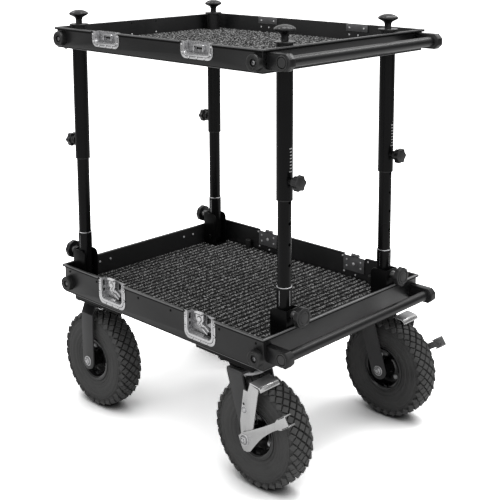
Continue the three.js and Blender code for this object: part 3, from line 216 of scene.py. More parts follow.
def patterned(name, group, values, relief, fixed):
    """A material on a node group: the values go to the group, the fixed ones to the shader."""
    finish = bpy.data.materials.new(name)
    finish.use_nodes = True
    tree = finish.node_tree
    pattern = added(tree, "Group", values, node_tree=group).outputs
    bump = added(tree, "Bump", {"Height": pattern["Height"], "Strength": relief, "Distance": MM})
    varied = {"Base Color": pattern["Colour"], "Normal": bump.outputs["Normal"]}
    if "Roughness" in pattern:
        varied["Roughness"] = pattern["Roughness"]
    wired(tree, tree.nodes["Principled BSDF"], {**varied, **fixed})
    return finish


def grained(name, first, second, rough, grain=900, cloud=9, relief=0.03, metal=0.0, specular=0.5):
    """A painted, moulded or plated finish on the surface_grain group."""
    values = {"Colour": first, "Second Colour": second, "Grain Scale": grain, "Cloud Scale": cloud,
              "Low Roughness": rough[0], "High Roughness": rough[1]}
    return patterned(name, surface_grain, values, relief, {"Metallic": metal, "Specular IOR Level": specular})


black_coat = grained("black_powder_coat", grey(0.004, 0.0043), grey(0.0065, 0.007), (0.3, 0.4), relief=0.05)
black_rubber = grained("black_rubber", grey(0.008), grey(0.014), (0.34, 0.46), grain=500, relief=0.1)
# Dark screws, and also the painted shade of the folds, gaps and dark rings.
dark_screw_and_shade = grained("dark_screw_and_shade", grey(0.002), grey(0.004), (0.4, 0.5), specular=0.1)
# Painted highlight along the top of the trays' end lips.
painted_lip_highlight = grained("painted_lip_highlight", grey(0.4, 0.404), grey(0.28, 0.283), (0.3, 0.4), cloud=14, metal=0.2)
# Painted highlight along the trays' folds.
painted_fold_highlight = grained("painted_fold_highlight", grey(0.17, 0.172), grey(0.09, 0.092), (0.3, 0.4), cloud=14)
screw_steel = grained("screw_steel", grey(0.3, 0.305), grey(0.2, 0.205), (0.24, 0.36), metal=1.0)
# Bright zinc of rivets and small parts; on the brake shoe's fold it is a painted highlight.
rivet_zinc_and_highlight = grained("rivet_zinc_and_highlight", grey(0.85, 0.86), grey(0.7, 0.71), (0.25, 0.36), metal=0.12)


def only(piece):
    """Makes one object the selected and active one."""
    bpy.ops.object.select_all(action="DESELECT")
    piece.select_set(True)
    bpy.context.view_layer.objects.active = piece


def settled(piece):
    """Puts the object's place, turn and size into its mesh."""
    only(piece)
    bpy.ops.object.transform_apply(location=True, rotation=True, scale=True)
    return piece


def placed(piece, place, rotation=(0, 0, 0)):
    """Turns a piece, moves it and settles it there."""
    piece.rotation_euler = rotation
    piece.location = [c * MM for c in place]
    return settled(piece)


def painted(piece, finish):
    piece.data.materials.clear()
    piece.data.materials.append(finish)
    return piece


def coated(piece, finish, edge=0.0, segments=2, corner=30):
    """Paints a piece, rounds its sharp edges and shades the rest smooth."""
    only(painted(piece, finish))
    if edge > 0:
        round_over = piece.modifiers.new("round_over", "BEVEL")
        round_over.width = edge * MM
        round_over.segments = segments
        round_over.limit_method = "ANGLE"
        round_over.angle_limit = math.radians(corner)
        bpy.ops.object.modifier_apply(modifier="round_over")
    bpy.ops.object.shade_smooth_by_angle(angle=math.radians(corner))
    return piece


def slab(x, y, z):
    """A straight block from its two limits along each axis."""
    bpy.ops.object.select_all(action="DESELECT")
    middle = [(a + b) / 2 * MM for a, b in (x, y, z)]
    size = [abs(b - a) * MM for a, b in (x, y, z)]
    bpy.ops.mesh.primitive_cube_add(size=1, location=middle, scale=size)
    return settled(bpy.context.object)


def edit_all():
    bpy.ops.object.mode_set(mode="EDIT")
    bpy.ops.mesh.select_all(action="SELECT")


def closed(piece):
    """Turns all faces outward and leaves edit mode."""
    bpy.ops.mesh.select_all(action="SELECT")
    bpy.ops.mesh.normals_make_consistent(inside=False)
    bpy.ops.object.mode_set(mode="OBJECT")
    return piece


def path_mesh(points):
    """One vertex extruded through a line of points, left in edit mode."""
    bpy.ops.object.select_all(action="DESELECT")
    bpy.ops.mesh.primitive_plane_add(size=0.1, location=(0, 0, 0))
    piece = bpy.context.object
    edit_all()
    bpy.ops.mesh.merge(type="CENTER")
    bpy.ops.transform.translate(value=[c * MM for c in points[0]])
    for here, there in zip(points, points[1:]):
        step = [(b - a) * MM for a, b in zip(here, there)]
        bpy.ops.mesh.extrude_vertices_move(TRANSFORM_OT_translate={"value": step})
    bpy.ops.mesh.select_all(action="SELECT")
    return piece


QUARTER = math.pi / 2
POINTING = {
    "z": (0, 0, 0),
    "-z": (2 * QUARTER, 0, 0),
    "x": (0, QUARTER, 0),
    "-x": (0, -QUARTER, 0),
    "y": (-QUARTER, 0, 0),
    "-y": (QUARTER, 0, 0),
}
OUT_X = {-1: "-x", 1: "x"}
OUT_Y = {-1: "-y", 1: "y"}


def turned(profile, place=(0, 0, 0), along="z", steps=32):
    """A turned piece from pairs of radius and height, standing on its place along an axis."""
    piece = path_mesh([(radius, 0, height) for radius, height in profile])
    bpy.ops.mesh.spin(steps=steps, angle=4 * QUARTER, center=(0, 0, 0), axis=(0, 0, 1))
    bpy.ops.mesh.select_all(action="SELECT")
    bpy.ops.mesh.remove_doubles(threshold=MM / 1000)
    return placed(closed(piece), place, POINTING[along])


def lathe(finish, profile, place=(0, 0, 0), along="z", steps=32, corner=30):
    """A turned piece in its finish."""
    return coated(turned(profile, place, along, steps), finish, corner=corner)


def rod(radius, low, high):
    """The profile of a plain round bar."""
    return [(0, low), (radius, low), (radius, high), (0, high)]


def band(inner, outer, low, high):
    """The profile of a plain ring."""
    return [(inner, low), (outer, low), (outer, high), (inner, high), (inner, low)]


def plate(outline, limits, across="y"):
    """A flat piece cut from an outline, between two limits along the axis across it."""
    near, far = sorted(limits)
    depth = (far - near) * MM
    if across == "y":
        points = [(u, near, v) for u, v in outline]
        thick = (0, depth, 0)
    else:
        points = [(near, u, v) for u, v in outline]
        thick = (depth, 0, 0)
    piece = path_mesh(points)
    bpy.ops.mesh.edge_face_add()
    bpy.ops.mesh.extrude_region_move(TRANSFORM_OT_translate={"value": thick})
    return closed(piece)


def welded(name, pieces):
    """Joins pieces into one object; each keeps its own finish."""
    bpy.ops.object.select_all(action="DESELECT")
    for piece in pieces:
        piece.select_set(True)
    bpy.context.view_layer.objects.active = pieces[0]
    bpy.ops.object.join()
    whole = bpy.context.object
    whole.name = name
    return whole


def carved(piece, cutter, operation="DIFFERENCE"):
    only(piece)
    carve = piece.modifiers.new("carve", "BOOLEAN")
    carve.operation = operation
    carve.solver = "EXACT"
    carve.object = cutter
    bpy.ops.object.modifier_apply(modifier="carve")
    bpy.data.objects.remove(cutter)
    return piece


def fitted(piece, body, node):
    """Hands the finished piece to the frame: what it rides on, which node it stands for."""
    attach(piece, body)
    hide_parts(node)


def tray_walls(rim, bottom):
    """The wall's section carried round the four sides."""
    inside = INNER_X - WALL_X
    outside = RIM_X - WALL_X
    section = [
        (inside, rim), (inside, bottom + SHEET), (inside - FLANGE, bottom + SHEET), (inside - FLANGE, bottom),
        (-2.4, bottom), (-0.7, bottom + 0.7), (0, bottom + 2.4),
        (0, rim - LIP), (outside, rim - LIP), (outside, rim), (inside, rim),
    ]
    bpy.ops.object.select_all(action="DESELECT")
    bpy.ops.mesh.primitive_plane_add(size=2 * MM, location=(0, 0, 0))
    piece = bpy.context.object
    edit_all()
    out, level = section[0]
    wide = [WALL_X + out, WALL_Y + out]
    bpy.ops.transform.resize(value=(*wide, 1))
    bpy.ops.transform.translate(value=(0, 0, level * MM))
    bpy.ops.mesh.delete(type="ONLY_FACE")
    bpy.ops.mesh.select_all(action="SELECT")
    for out, height in section[1:]:
        now = [WALL_X + out, WALL_Y + out]
        rise = (0, 0, (height - level) * MM)
        bpy.ops.mesh.extrude_edges_move(TRANSFORM_OT_translate={"value": rise})
        spread = (now[0] / wide[0], now[1] / wide[1], 1)
        bpy.ops.transform.resize(value=spread, center_override=(0, 0, height * MM))
        level = height
        wide = now
    bpy.ops.mesh.select_all(action="SELECT")
    bpy.ops.mesh.remove_doubles(threshold=MM / 100)
    return closed(piece)


def tray(rim, bottom, floor_top, pan_height):
    """Walls with cut-outs for the dishes in front and the hinge leaves behind, and a floor panel."""
    walls = tray_walls(rim, bottom)
    pan = PAN_HALF + PLAY
    brim = BRIM_HALF + PLAY
    for side in SIDES:
        x = side * LATCH_X
        carved(walls, slab((x - pan, x + pan), (-RIM_Y - 9, 2 - INNER_Y), (rim - pan_height - PLAY, rim + 9)))
        carved(walls, slab((x - brim, x + brim), (-RIM_Y - 9, -WALL_Y), (rim - LIP - 2, rim + 9)))
    for x in LEAF_X:
        carved(walls, slab((x - LEAF_GAP, x + LEAF_GAP), (INNER_Y + 1.5, RIM_Y + 9), (rim - 4, rim + 9)))
    base = slab((-INNER_X - 0.5, INNER_X + 0.5), (-INNER_Y - 0.5, INNER_Y + 0.5), (floor_top - 4, floor_top))
    return [coated(walls, black_coat, edge=1.4, segments=3), painted(base, black_coat)]


def fold_lines(rim, bottom):
    """Painted highlights along the folds, and painted shade in the corners beside them."""
    brim_out = LATCH_X + BRIM_HALF + PLAY
    brim_in = LATCH_X - BRIM_HALF - PLAY
    fold = rim - LIP
    lines = []
    # Light rows are painted highlights on the folds; dark rows are painted shade under the lip and above the
    # foot.
    for x, y, low, high, finish in (
        (RIM_X, RIM_Y, rim - 2.8, rim + 0.12, painted_fold_highlight),
        (RIM_X, RIM_Y, fold - 0.1, rim - 2.8, dark_screw_and_shade),
        (WALL_X, WALL_Y, fold - 2.4, fold + 0.2, dark_screw_and_shade),
        (WALL_X, WALL_Y, bottom - 0.1, bottom + 1.4, painted_fold_highlight),
        (WALL_X, WALL_Y, bottom + 1.4, bottom + 3, dark_screw_and_shade),
    ):
        reaches = [(1 - x, x - 1)]
        if low > bottom + LIP:
            reaches = [(1 - x, -brim_out), (-brim_in, brim_in), (brim_out, x - 1)]
        for reach in reaches:
            lines.append(painted(slab(reach, (-y - 0.12, 1 - y), (low, high)), finish))
        for end in SIDES:
            edge = (end * (x - 1), end * (x + 0.12))
            lines.append(painted(slab(edge, (1 - y, y - 1), (low, high)), finish))
    return lines


def bumper(place, along):
    """A rubber disc with two raised rings, and the screw sunk in its middle."""
    disc = [(0, -0.5), (20, -0.5), (20, 11), (19.2, 13.2), (17.4, 14), (15.8, 13.6), (14.8, 12.4),
            (13.6, 12.2), (12.6, 13), (10.4, 13), (9.2, 12), (9, 8), (0, 8)]
    screw = [(0, 7.5), (5.6, 7.5), (5.6, 8.6), (4.8, 10.4), (3.4, 11.2), (2.2, 11.4), (2.2, 9.6), (0, 9.6)]
    return [lathe(black_rubber, disc, place, along, 40), lathe(screw_steel, screw, place, along, 24)]


def dark_ring(inner, outer, low, high, place, along, steps):
    """A line of shade pressed in round something."""
    return painted(turned(band(inner, outer, low, high), place, along, steps), dark_screw_and_shade)


def dome_head(place, along, finish, radius=3.2, height=1.7, shade=0.0):
    """A rivet or screw head; a shade is the width of the dark line pressed in round it."""
    dome = [(0, -0.5), (radius, -0.5), (radius, 0.2), (radius * 0.85, height * 0.6),
            (radius * 0.5, height * 0.92), (0, height)]
    head = lathe(finish, dome, place, along, 16, 60)
    if shade > 0:
        line = dark_ring(radius - 0.3, radius + shade, -0.4, 0.15, place, along, 16)
        head = welded("head", [head, line])
    return head


lower = tray(LOWER_RIM, LOWER_BOTTOM, LOWER_FLOOR, LOWER_PAN) + fold_lines(LOWER_RIM, LOWER_BOTTOM)
upper = tray(UPPER_RIM, UPPER_BOTTOM, UPPER_FLOOR, UPPER_PAN) + fold_lines(UPPER_RIM, UPPER_BOTTOM)
# A painted highlight strip along the top of each end lip.
for parts, rim, wide in ((lower, LOWER_RIM, 2.6), (upper, UPPER_RIM, 1.4)):
    for end in SIDES:
        edge = (end * (RIM_X - wide), end * (RIM_X + 0.1))
        shine = slab(edge, (1 - RIM_Y, RIM_Y - 1), (rim - 0.3, rim + 0.15))
        parts.append(painted(shine, painted_lip_highlight))
for reach in (
    (-WALL_X, LEAF_X[0] - LEAF_GAP),
    (LEAF_X[0] + LEAF_GAP, LEAF_X[1] - LEAF_GAP),
    (LEAF_X[1] + LEAF_GAP, UPSTAND_END),
):
    upstand = slab(reach, (INNER_Y, RIM_Y), (LOWER_RIM - 1, LOWER_RIM + 5))
    lower.append(coated(upstand, black_coat, edge=0.9))
for x in LEAF_X:
    for u, v in ((-41, 3), (-35.5, 47), (5, 51), (49, 3)):
        lower.append(dome_head((x + u, INNER_Y, LOWER_RIM - v), "-y", rivet_zinc_and_highlight, 2.8, 1.8))
    for u in (-27, 3):
        upper.append(dome_head((x + u, INNER_Y, UPPER_RIM - 30.5), "-y", rivet_zinc_and_highlight, 2.6, 1.4))
rest = [(0, -1), (9, -1), (9, 25), (8, 26.4), (5.6, 26.7), (4, 26.7), (3.4, 25), (0, 25)]
socket = [(0, -0.5), (19.5, -0.5), (19.5, 50), (24.4, 50), (25, 50.6), (25, 53.2), (24.2, 54),
          (5.6, 54), (5.6, 44), (0, 44)]
for side in SIDES:
    facing = OUT_Y[side]
    for end in SIDES:
        inward = OUT_X[-end]
        lower += bumper((end * BUMPER_X, side * WALL_Y, LOWER_BUMPER_Z), facing)
        upper += bumper((end * BUMPER_X, side * WALL_Y, UPPER_BUMPER_Z), facing)
        for x in (62, 234, 353):
            lower.append(dome_head((end * x, side * WALL_Y, LOWER_RIM - 17), facing, dark_screw_and_shade))
        for from_post in (69, 107):
            place = (end * INNER_X, side * (POST_Y[end] - from_post), LOWER_RIM - 22)
            lower.append(dome_head(place, inward, rivet_zinc_and_highlight, 3.2, 2))
        for drop, finish in ((39, rivet_zinc_and_highlight), (7, dark_screw_and_shade)):
            place = (end * INNER_X, side * 45, UPPER_RIM - drop)
            upper.append(dome_head(place, inward, finish, 2.4, 1.3))
        for beside in SIDES:
            place = (end * (INNER_X - 23), side * POST_Y[end] + beside * 41, UPPER_BOTTOM)
            upper.append(dome_head(place, "-z", dark_screw_and_shade, 5, 4))
        lower.append(lathe(black_rubber, rest, (end * REST_X, side * REST_Y, LOWER_FLOOR), steps=28))
        upper.append(lathe(black_coat, socket, (end * POST_X, side * POST_Y[end], UPPER_FLOOR), steps=48))
fitted(welded("lower_tray_shell", lower), "root", "lower_tray")
fitted(welded("upper_tray_shell", upper), "deck", "upper_tray")

# Carpets: looped pile glued on each floor. The lower one has ribs of coarse loops that run across
# the tray, the upper one a plain speckled loop. Both are cut out round what stands on the floor.
CARPET_X = 372.7
CARPET_Y = 294.7


def mixed_threads_group():
    """Light and dark threads mixed through a pile."""
    group, given = new_group("mixed_threads", ("Dark Colour", "Middle Colour", "Light Colour"),
                             ("Thread Scale", "Middle Share", "Light Share"), ("Colour", "Height"))
    place = added(group, "TexCoord").outputs["Object"]
    threads = added(group, "TexNoise",
                    {"Vector": place, "Scale": given["Thread Scale"], "Detail": 2}).outputs["Fac"]
    fine = added(group, "TexNoise", {"Vector": place, "Scale": 1400}).outputs["Fac"]
    last = given["Dark Colour"]
    for kind in ("Middle", "Light"):
        share = given[kind + " Share"]
        margin = added(group, "Math", {0: share, 1: 0.05}, operation="ADD")
        edge = added(group, "MapRange",
                     {"Value": threads, "From Min": share, "From Max": margin.outputs[0]})
        mix = added(group, "Mix",
                    {"Factor": edge.outputs["Result"], "A": last, "B": given[kind + " Colour"]},
                    data_type="RGBA")
        last = mix.outputs["Result"]
    wired(group, group.nodes.new("NodeGroupOutput"), {"Colour": last, "Height": fine})
    return group


mixed_threads = mixed_threads_group()


def pile(name, dark, middle, light, scale, shares):
    values = {"Dark Colour": grey(dark), "Middle Colour": grey(middle), "Light Colour": grey(light),
              "Thread Scale": scale, "Middle Share": shares[0], "Light Share": shares[1]}
    return patterned(name, mixed_threads, values, 0.4, {"Roughness": 0.95, "Specular IOR Level": 0.15})


ribbed_pile = pile("ribbed_pile", 0.014, 0.1, 0.46, 200, (0.4, 0.54))
speckled_pile = pile("speckled_pile", 0.006, 0.05, 0.34, 190, (0.43, 0.545))
carpet_back = grained("carpet_back", grey(0.006), grey(0.01), (0.9, 1.0), specular=0.1)


def copied(piece, name, place=(0, 0, 0), angle=0):
    """A copy with its own mesh, turned about Z in degrees and then moved."""
    only(piece)
    bpy.ops.object.duplicate(linked=False)
    twin = bpy.context.object
    twin.name = name
    return placed(twin, place, (0, 0, math.radians(angle)))


def loops(finish, height, size, pitch, counts, shake, cut_out):
    """Rows of yarn loops; every second row starts half a pitch further on."""
    bpy.ops.object.select_all(action="DESELECT")
    bpy.ops.mesh.primitive_uv_sphere_add(segments=6, ring_count=4, radius=MM, scale=size, location=(0, 0, 0))
    piece = settled(bpy.context.object)
    piece = welded("loops", [piece, copied(piece, "twin", (pitch[0], pitch[1] / 2, 0))])
    per_loop = len(piece.data.vertices) // 2
    steps = ((2 * pitch[0], 0, 0), (0, pitch[1], 0))
    for step, count in zip(steps, counts):
        row = piece.modifiers.new("row", "ARRAY")
        row.use_relative_offset = False
        row.use_constant_offset = True
        row.constant_offset_displace = [c * MM for c in step]
        row.count = count
        only(piece)
        bpy.ops.object.modifier_apply(modifier="row")
    placed(piece, (-pitch[0] * (counts[0] - 0.5), -pitch[1] * (counts[1] - 0.5) / 2, height))
    bpy.ops.object.mode_set(mode="EDIT")
    bpy.ops.mesh.select_mode(type="VERT")
    bpy.ops.mesh.select_all(action="DESELECT")
    bpy.ops.object.mode_set(mode="OBJECT")
    points = piece.data.vertices
    for start in range(0, len(points), per_loop):
        group = range(start, start + per_loop)
        x = sum(points[i].co.x for i in group) / per_loop / MM
        y = sum(points[i].co.y for i in group) / per_loop / MM
        if abs(x) > CARPET_X - 4 or abs(y) > CARPET_Y - 4 or cut_out(x, y):
            for i in group:
                points[i].select = True
    bpy.ops.object.mode_set(mode="EDIT")
    bpy.ops.mesh.delete(type="VERT")
    bpy.ops.mesh.select_all(action="SELECT")
    bpy.ops.transform.vertex_random(offset=shake * MM, seed=4)
    bpy.ops.object.mode_set(mode="OBJECT")
    return coated(piece, finish, corner=80)


def lower_cut_out(x, y):
    from_post = abs(abs(y) - POST_Y[-1 if x < 0 else 1])
    at_bracket = abs(x) > POST_X - 28 and from_post < 26
    at_rest = math.hypot(abs(x) - REST_X, abs(y) - REST_Y) < 13
    return at_bracket or at_rest


def upper_cut_out(x, y):
    return math.hypot(abs(x) - POST_X, abs(y) - POST_Y[-1 if x < 0 else 1]) < 23


lower_back = slab((-CARPET_X, CARPET_X), (-CARPET_Y, CARPET_Y), (326.6, 328.2))
upper_back = slab((-CARPET_X, CARPET_X), (-CARPET_Y, CARPET_Y), (995.3, 997))
for end in SIDES:
    for side in SIDES:
        y = side * POST_Y[end]
        notch = slab((end * (POST_X - 25.6), end * (CARPET_X + 5)), (y - 23.1, y + 23.1), (320, 335))
        carved(lower_back, notch)
        carved(lower_back, turned(rod(9.3, 0, 10), (end * REST_X, side * REST_Y, 322)))
        carved(upper_back, turned(rod(19.8, 0, 10), (end * POST_X, y, 992)))
ribs = loops(ribbed_pile, 328.0, (6.4, 4.4, 2.6), (18.7, 8.4), (20, 70), 1.0, lower_cut_out)
fitted(welded("lower_carpet_pile", [painted(lower_back, carpet_back), ribs]),
       "root", "lower_carpet")
tufts = loops(speckled_pile, 997.3, (4.4, 4.4, 2.2), (7.4, 8.4), (50, 70), 0.8, upper_cut_out)
fitted(welded("upper_carpet_pile", [painted(upper_back, carpet_back), tufts]),
       "deck", "upper_carpet")

# Handles: two thick plates bolted to the end wall with a tube through them, all coated black. A
# ribbed plastic plug closes each end of the tube.
HANDLE_X = 423
ARM_Y = (268, 288)
handle_coat = grained("handle_coat", grey(0.004, 0.0043), grey(0.0065, 0.007), (0.3, 0.4), relief=0.05)
plug_plastic = grained("plug_plastic", grey(0.024), grey(0.034), (0.36, 0.46), relief=0.1)
plug = [(0, -1), (15.6, -1), (15.6, 1.6), (14.9, 2.4), (13.4, 2.4), (13, 0.4), (11.4, 0.4), (11.2, 2),
        (10.4, 2.8), (0, 3)]
for label, z, body in (("lower", 347, "root"), ("upper", 1016, "deck")):
    parts = []
    nose = [(376.3, z - 19), (434, z - 19), (445, z - 8), (445, z + 8), (434, z + 19), (376.3, z + 19)]
    for side in SIDES:
        parts.append(coated(plate(nose, [side * y for y in ARM_Y]), handle_coat, edge=1.0))
        tube_end = (HANDLE_X, side * ARM_Y[1], z)
        parts.append(lathe(plug_plastic, plug, tube_end, OUT_Y[side], 40))
        # A ring of painted shade round each plug.
        parts.append(dark_ring(11.5, 13, 0.2, 0.6, tube_end, OUT_Y[side], 40))
    parts.append(lathe(handle_coat, rod(12.5, -280, 280), (HANDLE_X, 0, z), "y", 40))
    fitted(welded(label + "_push_handle", parts), body, label + "_handle")

# Latches and keepers: pressed steel dishes, bright plated, riveted into the front wall. A twist
# wing on a spindle draws the hook down; the keeper dish above has the bracket that it grips.
chrome = grained("bright_plating", grey(0.8, 0.81), grey(0.62, 0.63), (0.16, 0.3),
                 grain=220, cloud=60, relief=0.08, metal=1.0)
pan_plating = grained("pan_plating", grey(0.2, 0.205), grey(0.62, 0.63), (0.2, 0.36),
                      grain=200, cloud=150, relief=0.5, metal=0.7)
wing_plating = grained("wing_plating", grey(0.28, 0.285), grey(0.18, 0.185), (0.3, 0.42),
                       grain=300, cloud=80, relief=0.2, metal=0.9)
# Dull zinc of the latch's sloped sill; on the brake hood's top it is painted shade.
dull_zinc_and_shade = grained("dull_zinc_and_shade", grey(0.5, 0.505), grey(0.34, 0.345), (0.4, 0.5),
                    grain=500, cloud=60, relief=0.1, metal=0.7)
seam_grey = grained("seam_grey", grey(0.06, 0.061), grey(0.1, 0.101), (0.4, 0.5), metal=0.5)
DISH_FACE, PAN_BACK = -298.3, -286.8
SPINDLE_Z, WING_Y, WING_TURN = 358, -290.4, math.radians(32)
STRAP_Y, HOOK_SHIFT = (-297.2, -294.8), -2


def bend(u, v, radius, start, stop, steps=6):
    """Points along an arc, angles in degrees."""
    points = []
    for i in range(steps + 1):
        angle = math.radians(start + (stop - start) * i / steps)
        points.append((u + radius * math.cos(angle), v + radius * math.sin(angle)))
    return points


def u_shape(x, top, foot, half, corner):
    """A U with round corners, from its left end down, along and up to its right end."""
    return [(x - half, top), *bend(x - half + corner, foot + corner, corner, 180, 270),
            *bend(x + half - corner, foot + corner, corner, 270, 360), (x + half, top)]


def dish(x, rim, height, pan_height, corner, rivets, openings):
    """A pan with openings in its back, a flat brim with a bead and a seam, and the brim's rivets."""
    foot = rim - height
    pan_foot = rim - pan_height
    pan = u_shape(x, rim, pan_foot, PAN_HALF, corner * 0.6)
    hollow = u_shape(x, rim, pan_foot + 1.5, PAN_HALF - 1.5, corner * 0.6 - 1.5)
    back = plate(pan, (PAN_BACK, PAN_BACK + 1.5))
    for opening in openings:
        carved(back, plate([(x + u, rim - v) for u, v in opening], (PAN_BACK - 3, PAN_BACK + 5)))
    edge = pan[::-1]
    brim = plate(u_shape(x, rim, foot, BRIM_HALF, corner) + edge, (DISH_FACE - 1.5, DISH_FACE))
    bead = plate(u_shape(x, rim, foot + 7, 47, corner * 0.8) + edge, (DISH_FACE - 2.6, DISH_FACE - 1))
    seam = plate(u_shape(x, rim - 0.4, foot + 6, 48, corner * 0.8) + edge, (DISH_FACE - 1.7, DISH_FACE - 1))
    wall = plate(hollow + edge, (DISH_FACE - 1.2, PAN_BACK))
    # The black sheet behind the pan's back darkens its openings as painted shade.
    parts = [coated(brim, chrome, edge=0.5), coated(bead, chrome, edge=0.6),
             painted(plate(pan, (PAN_BACK + 3, PAN_BACK + 4)), black_coat), painted(seam, seam_grey),
             coated(wall, pan_plating, edge=0.3), coated(back, pan_plating, edge=0.3)]
    for u, v in rivets:
        parts.append(dome_head((x + u, DISH_FACE - 1.5, rim - v), "-y", rivet_zinc_and_highlight, 2.9, 1.8, 0.9))
    return parts


def latch_wing(end):
    """Modelled about its spindle: a waisted plate with two raised arms and a stud."""
    spread = math.degrees(math.asin(10 / 24))
    bow = [*bend(0, 0, 24, -spread, spread), (9, 7), *bend(0, 0, 8.4, 70, 110, 4), (-9, 7),
           *bend(0, 0, 24, 180 - spread, 180 + spread), (-9, -7), *bend(0, 0, 8.4, 250, 290, 4), (9, -7)]
    wing = carved(plate(bow, (0, 3)), turned(rod(5.3, -2, 6), along="y", steps=24))
    parts = [coated(wing, wing_plating, edge=0.7)]
    for height in ((3.4, 6.2), (-7.2, -4.6)):
        parts.append(coated(slab((6, 25), (-2, 0.4), height), rivet_zinc_and_highlight, edge=0.5))
    parts.append(dome_head((-17, 0, 0), "-y", wing_plating, 2.6, 1.2, 1.2))
    return welded("latch_wing_plate_" + end, parts)


for side in SIDES:
    x = side * LATCH_X
    end = ENDS[side]
    rivets = ((-50.4, 14), (50.4, 14), (-50.4, 40), (50.4, 40), (-26, 64.2), (0, 64.2), (26, 64.2))
    corners = (((2, 52), (38, 52), (38, 34)), ((13, 3), (36, 10), (13, 24)))
    parts = dish(x, LOWER_RIM, 68, LOWER_PAN, 18, rivets, corners)
    slope = [(-290.4, 331.6), (-300, 331.6), (-300, 332.4), (-290.4, 336.8)]
    parts.append(coated(plate(slope, (x - 40.4, x + 9), across="x"), dull_zinc_and_shade, edge=0.5))
    # Two thin dark strips on the pan's left inner side are painted shade.
    for height in ((366, 380), (350, 358)):
        parts.append(painted(slab((x - 40.7, x - 40.1), (-296, -291), height), dark_screw_and_shade))
    parts.append(lathe(chrome, rod(5, -0.5, 2.6), (x, PAN_BACK, SPINDLE_Z), "-y", 24))
    fitted(welded("latch_recess_" + end, parts), "root", "latch_dish_" + end)

    rivets = ((-50, 8), (50, 8), (-48, 26), (48, 26), (-26, 36), (0, 36), (26, 36))
    slot = ((-13, 13), (9, 13), (9, 18), (-13, 18))
    parts = dish(x, UPPER_RIM, 40, UPPER_PAN, 17, rivets, (slot,))
    staple = [(x - 17, 1020), (x - 14, 1020), (x - 14, 1033), (x + 14, 1033), (x + 14, 1020),
              (x + 17, 1020), *bend(x + 14, 1033, 3, 0, 90, 3), *bend(x - 14, 1033, 3, 90, 180, 3)]
    parts.append(coated(plate(staple, (PAN_BACK - 7, PAN_BACK)), chrome, edge=0.6))
    fitted(welded("keeper_recess_" + end, parts), "deck", "keeper_dish_" + end)

    wing = placed(latch_wing(end), (x, WING_Y, SPINDLE_Z), (0, WING_TURN, 0))
    fitted(wing, "wing_" + end, "latch_wing_" + end)

    middle = x + HOOK_SHIFT
    face = STRAP_Y[0]
    strap = [(middle + 11, 391), (middle - 11, 391), (middle - 13, 384), (middle - 13, 372),
             *bend(middle, 364, 8.5, 160, 380, 14), (middle + 13, 372), (middle + 13, 384)]
    tab = slab((middle - 12, middle + 12), (-303, -294), (389.6, 393))
    boss = [(0, -0.3), (9.4, -0.3), (9.4, 0.8), (8.4, 1.2), (7.4, 0.6), (6.4, 0.6), (6, 2.2), (3.6, 3.4),
            (0, 3.6)]
    # The dark ring round the boss and the dark strip in the gap under the tab are painted shade.
    parts = [coated(plate(strap, STRAP_Y), chrome, edge=0.6), coated(tab, rivet_zinc_and_highlight, edge=0.8),
             lathe(rivet_zinc_and_highlight, boss, (middle, face, 375), "-y", 28),
             dome_head((middle, face, 361), "-y", chrome, 3, 1.6, 1),
             dark_ring(6, 8.2, 0.4, 1, (middle, face, 375), "-y", 28),
             painted(slab((middle - 11, middle + 11), (-299.4, -294.4), (386.4, 389.4)), dark_screw_and_shade)]
    fitted(welded("latch_hook_strap_" + end, parts), "hook_" + end, "latch_hook_" + end)

# Hinge leaves: dull steel plates riveted inside the back wall, where the upper tray hooks on when
# the cart is closed. The lower leaves have a rolled knuckle above the rim.
LEAF_Y = (292.4, 294.7)
leaf_steel = grained("leaf_steel", grey(0.13, 0.133), grey(0.2, 0.205), (0.34, 0.46),
                     grain=300, cloud=45, relief=0.15, metal=0.5)
for x, end in zip(LEAF_X, ("left", "right")):
    for label, top, height, drops, body in (
        ("lower", LOWER_RIM + 3, 44, (13, 31), "root"),
        ("upper", UPPER_RIM - 1.5, 19, (9.5,), "deck"),
    ):
        leaf = slab((x - 36.5, x + 36.5), LEAF_Y, (top - height, top))
        parts = [coated(leaf, leaf_steel, edge=0.7)]
        for side in SIDES:
            for drop in drops:
                place = (x + side * 24.5, LEAF_Y[0], top - drop)
                parts.append(dome_head(place, "-y", rivet_zinc_and_highlight, 2.8, 1.4))
        if label == "lower":
            parts.append(dome_head((x, LEAF_Y[0], top - 22), "-y", rivet_zinc_and_highlight, 4.4, 2.4))
            for low, high in ((-5, 6.5), (11, 20.5)):
                roll = [(0, low), (4.1, low), (4.5, low + 0.6), (4.5, high - 0.6), (4.1, high), (0, high)]
                parts.append(lathe(leaf_steel, roll, (x, 291, top + 5), "x", 24))
                parts.append(coated(slab((x + low, x + high), LEAF_Y, (top - 2, top + 5)), leaf_steel))
        fitted(welded(label + "_hinge_plate_" + end, parts), body, label + "_hinge_leaf_" + end)

# Foot brackets: channels folded from 3 mm steel, coated gloss black, bolted to the lower floor. A
# pin through both cheeks carries the post, which folds inboard on it.
BRACKET_Z = (326.6, 425.6)
PIVOT_Z = 352
FOOT_LOCK_Z = 412.6
# Gloss black coat of brackets and plates; over the fixed forks' shoulders it is painted shade.
gloss_coat_and_shade = grained("gloss_coat_and_shade", grey(0.002, 0.0022), grey(0.004, 0.0042), (0.24, 0.34),
                     relief=0.06, specular=0.12)
POSTS = []
for end in SIDES:
    for side in SIDES:
        POSTS.append((FLANKS[side] + "_" + ENDS[end], end, (end * POST_X, side * POST_Y[end], 0)))


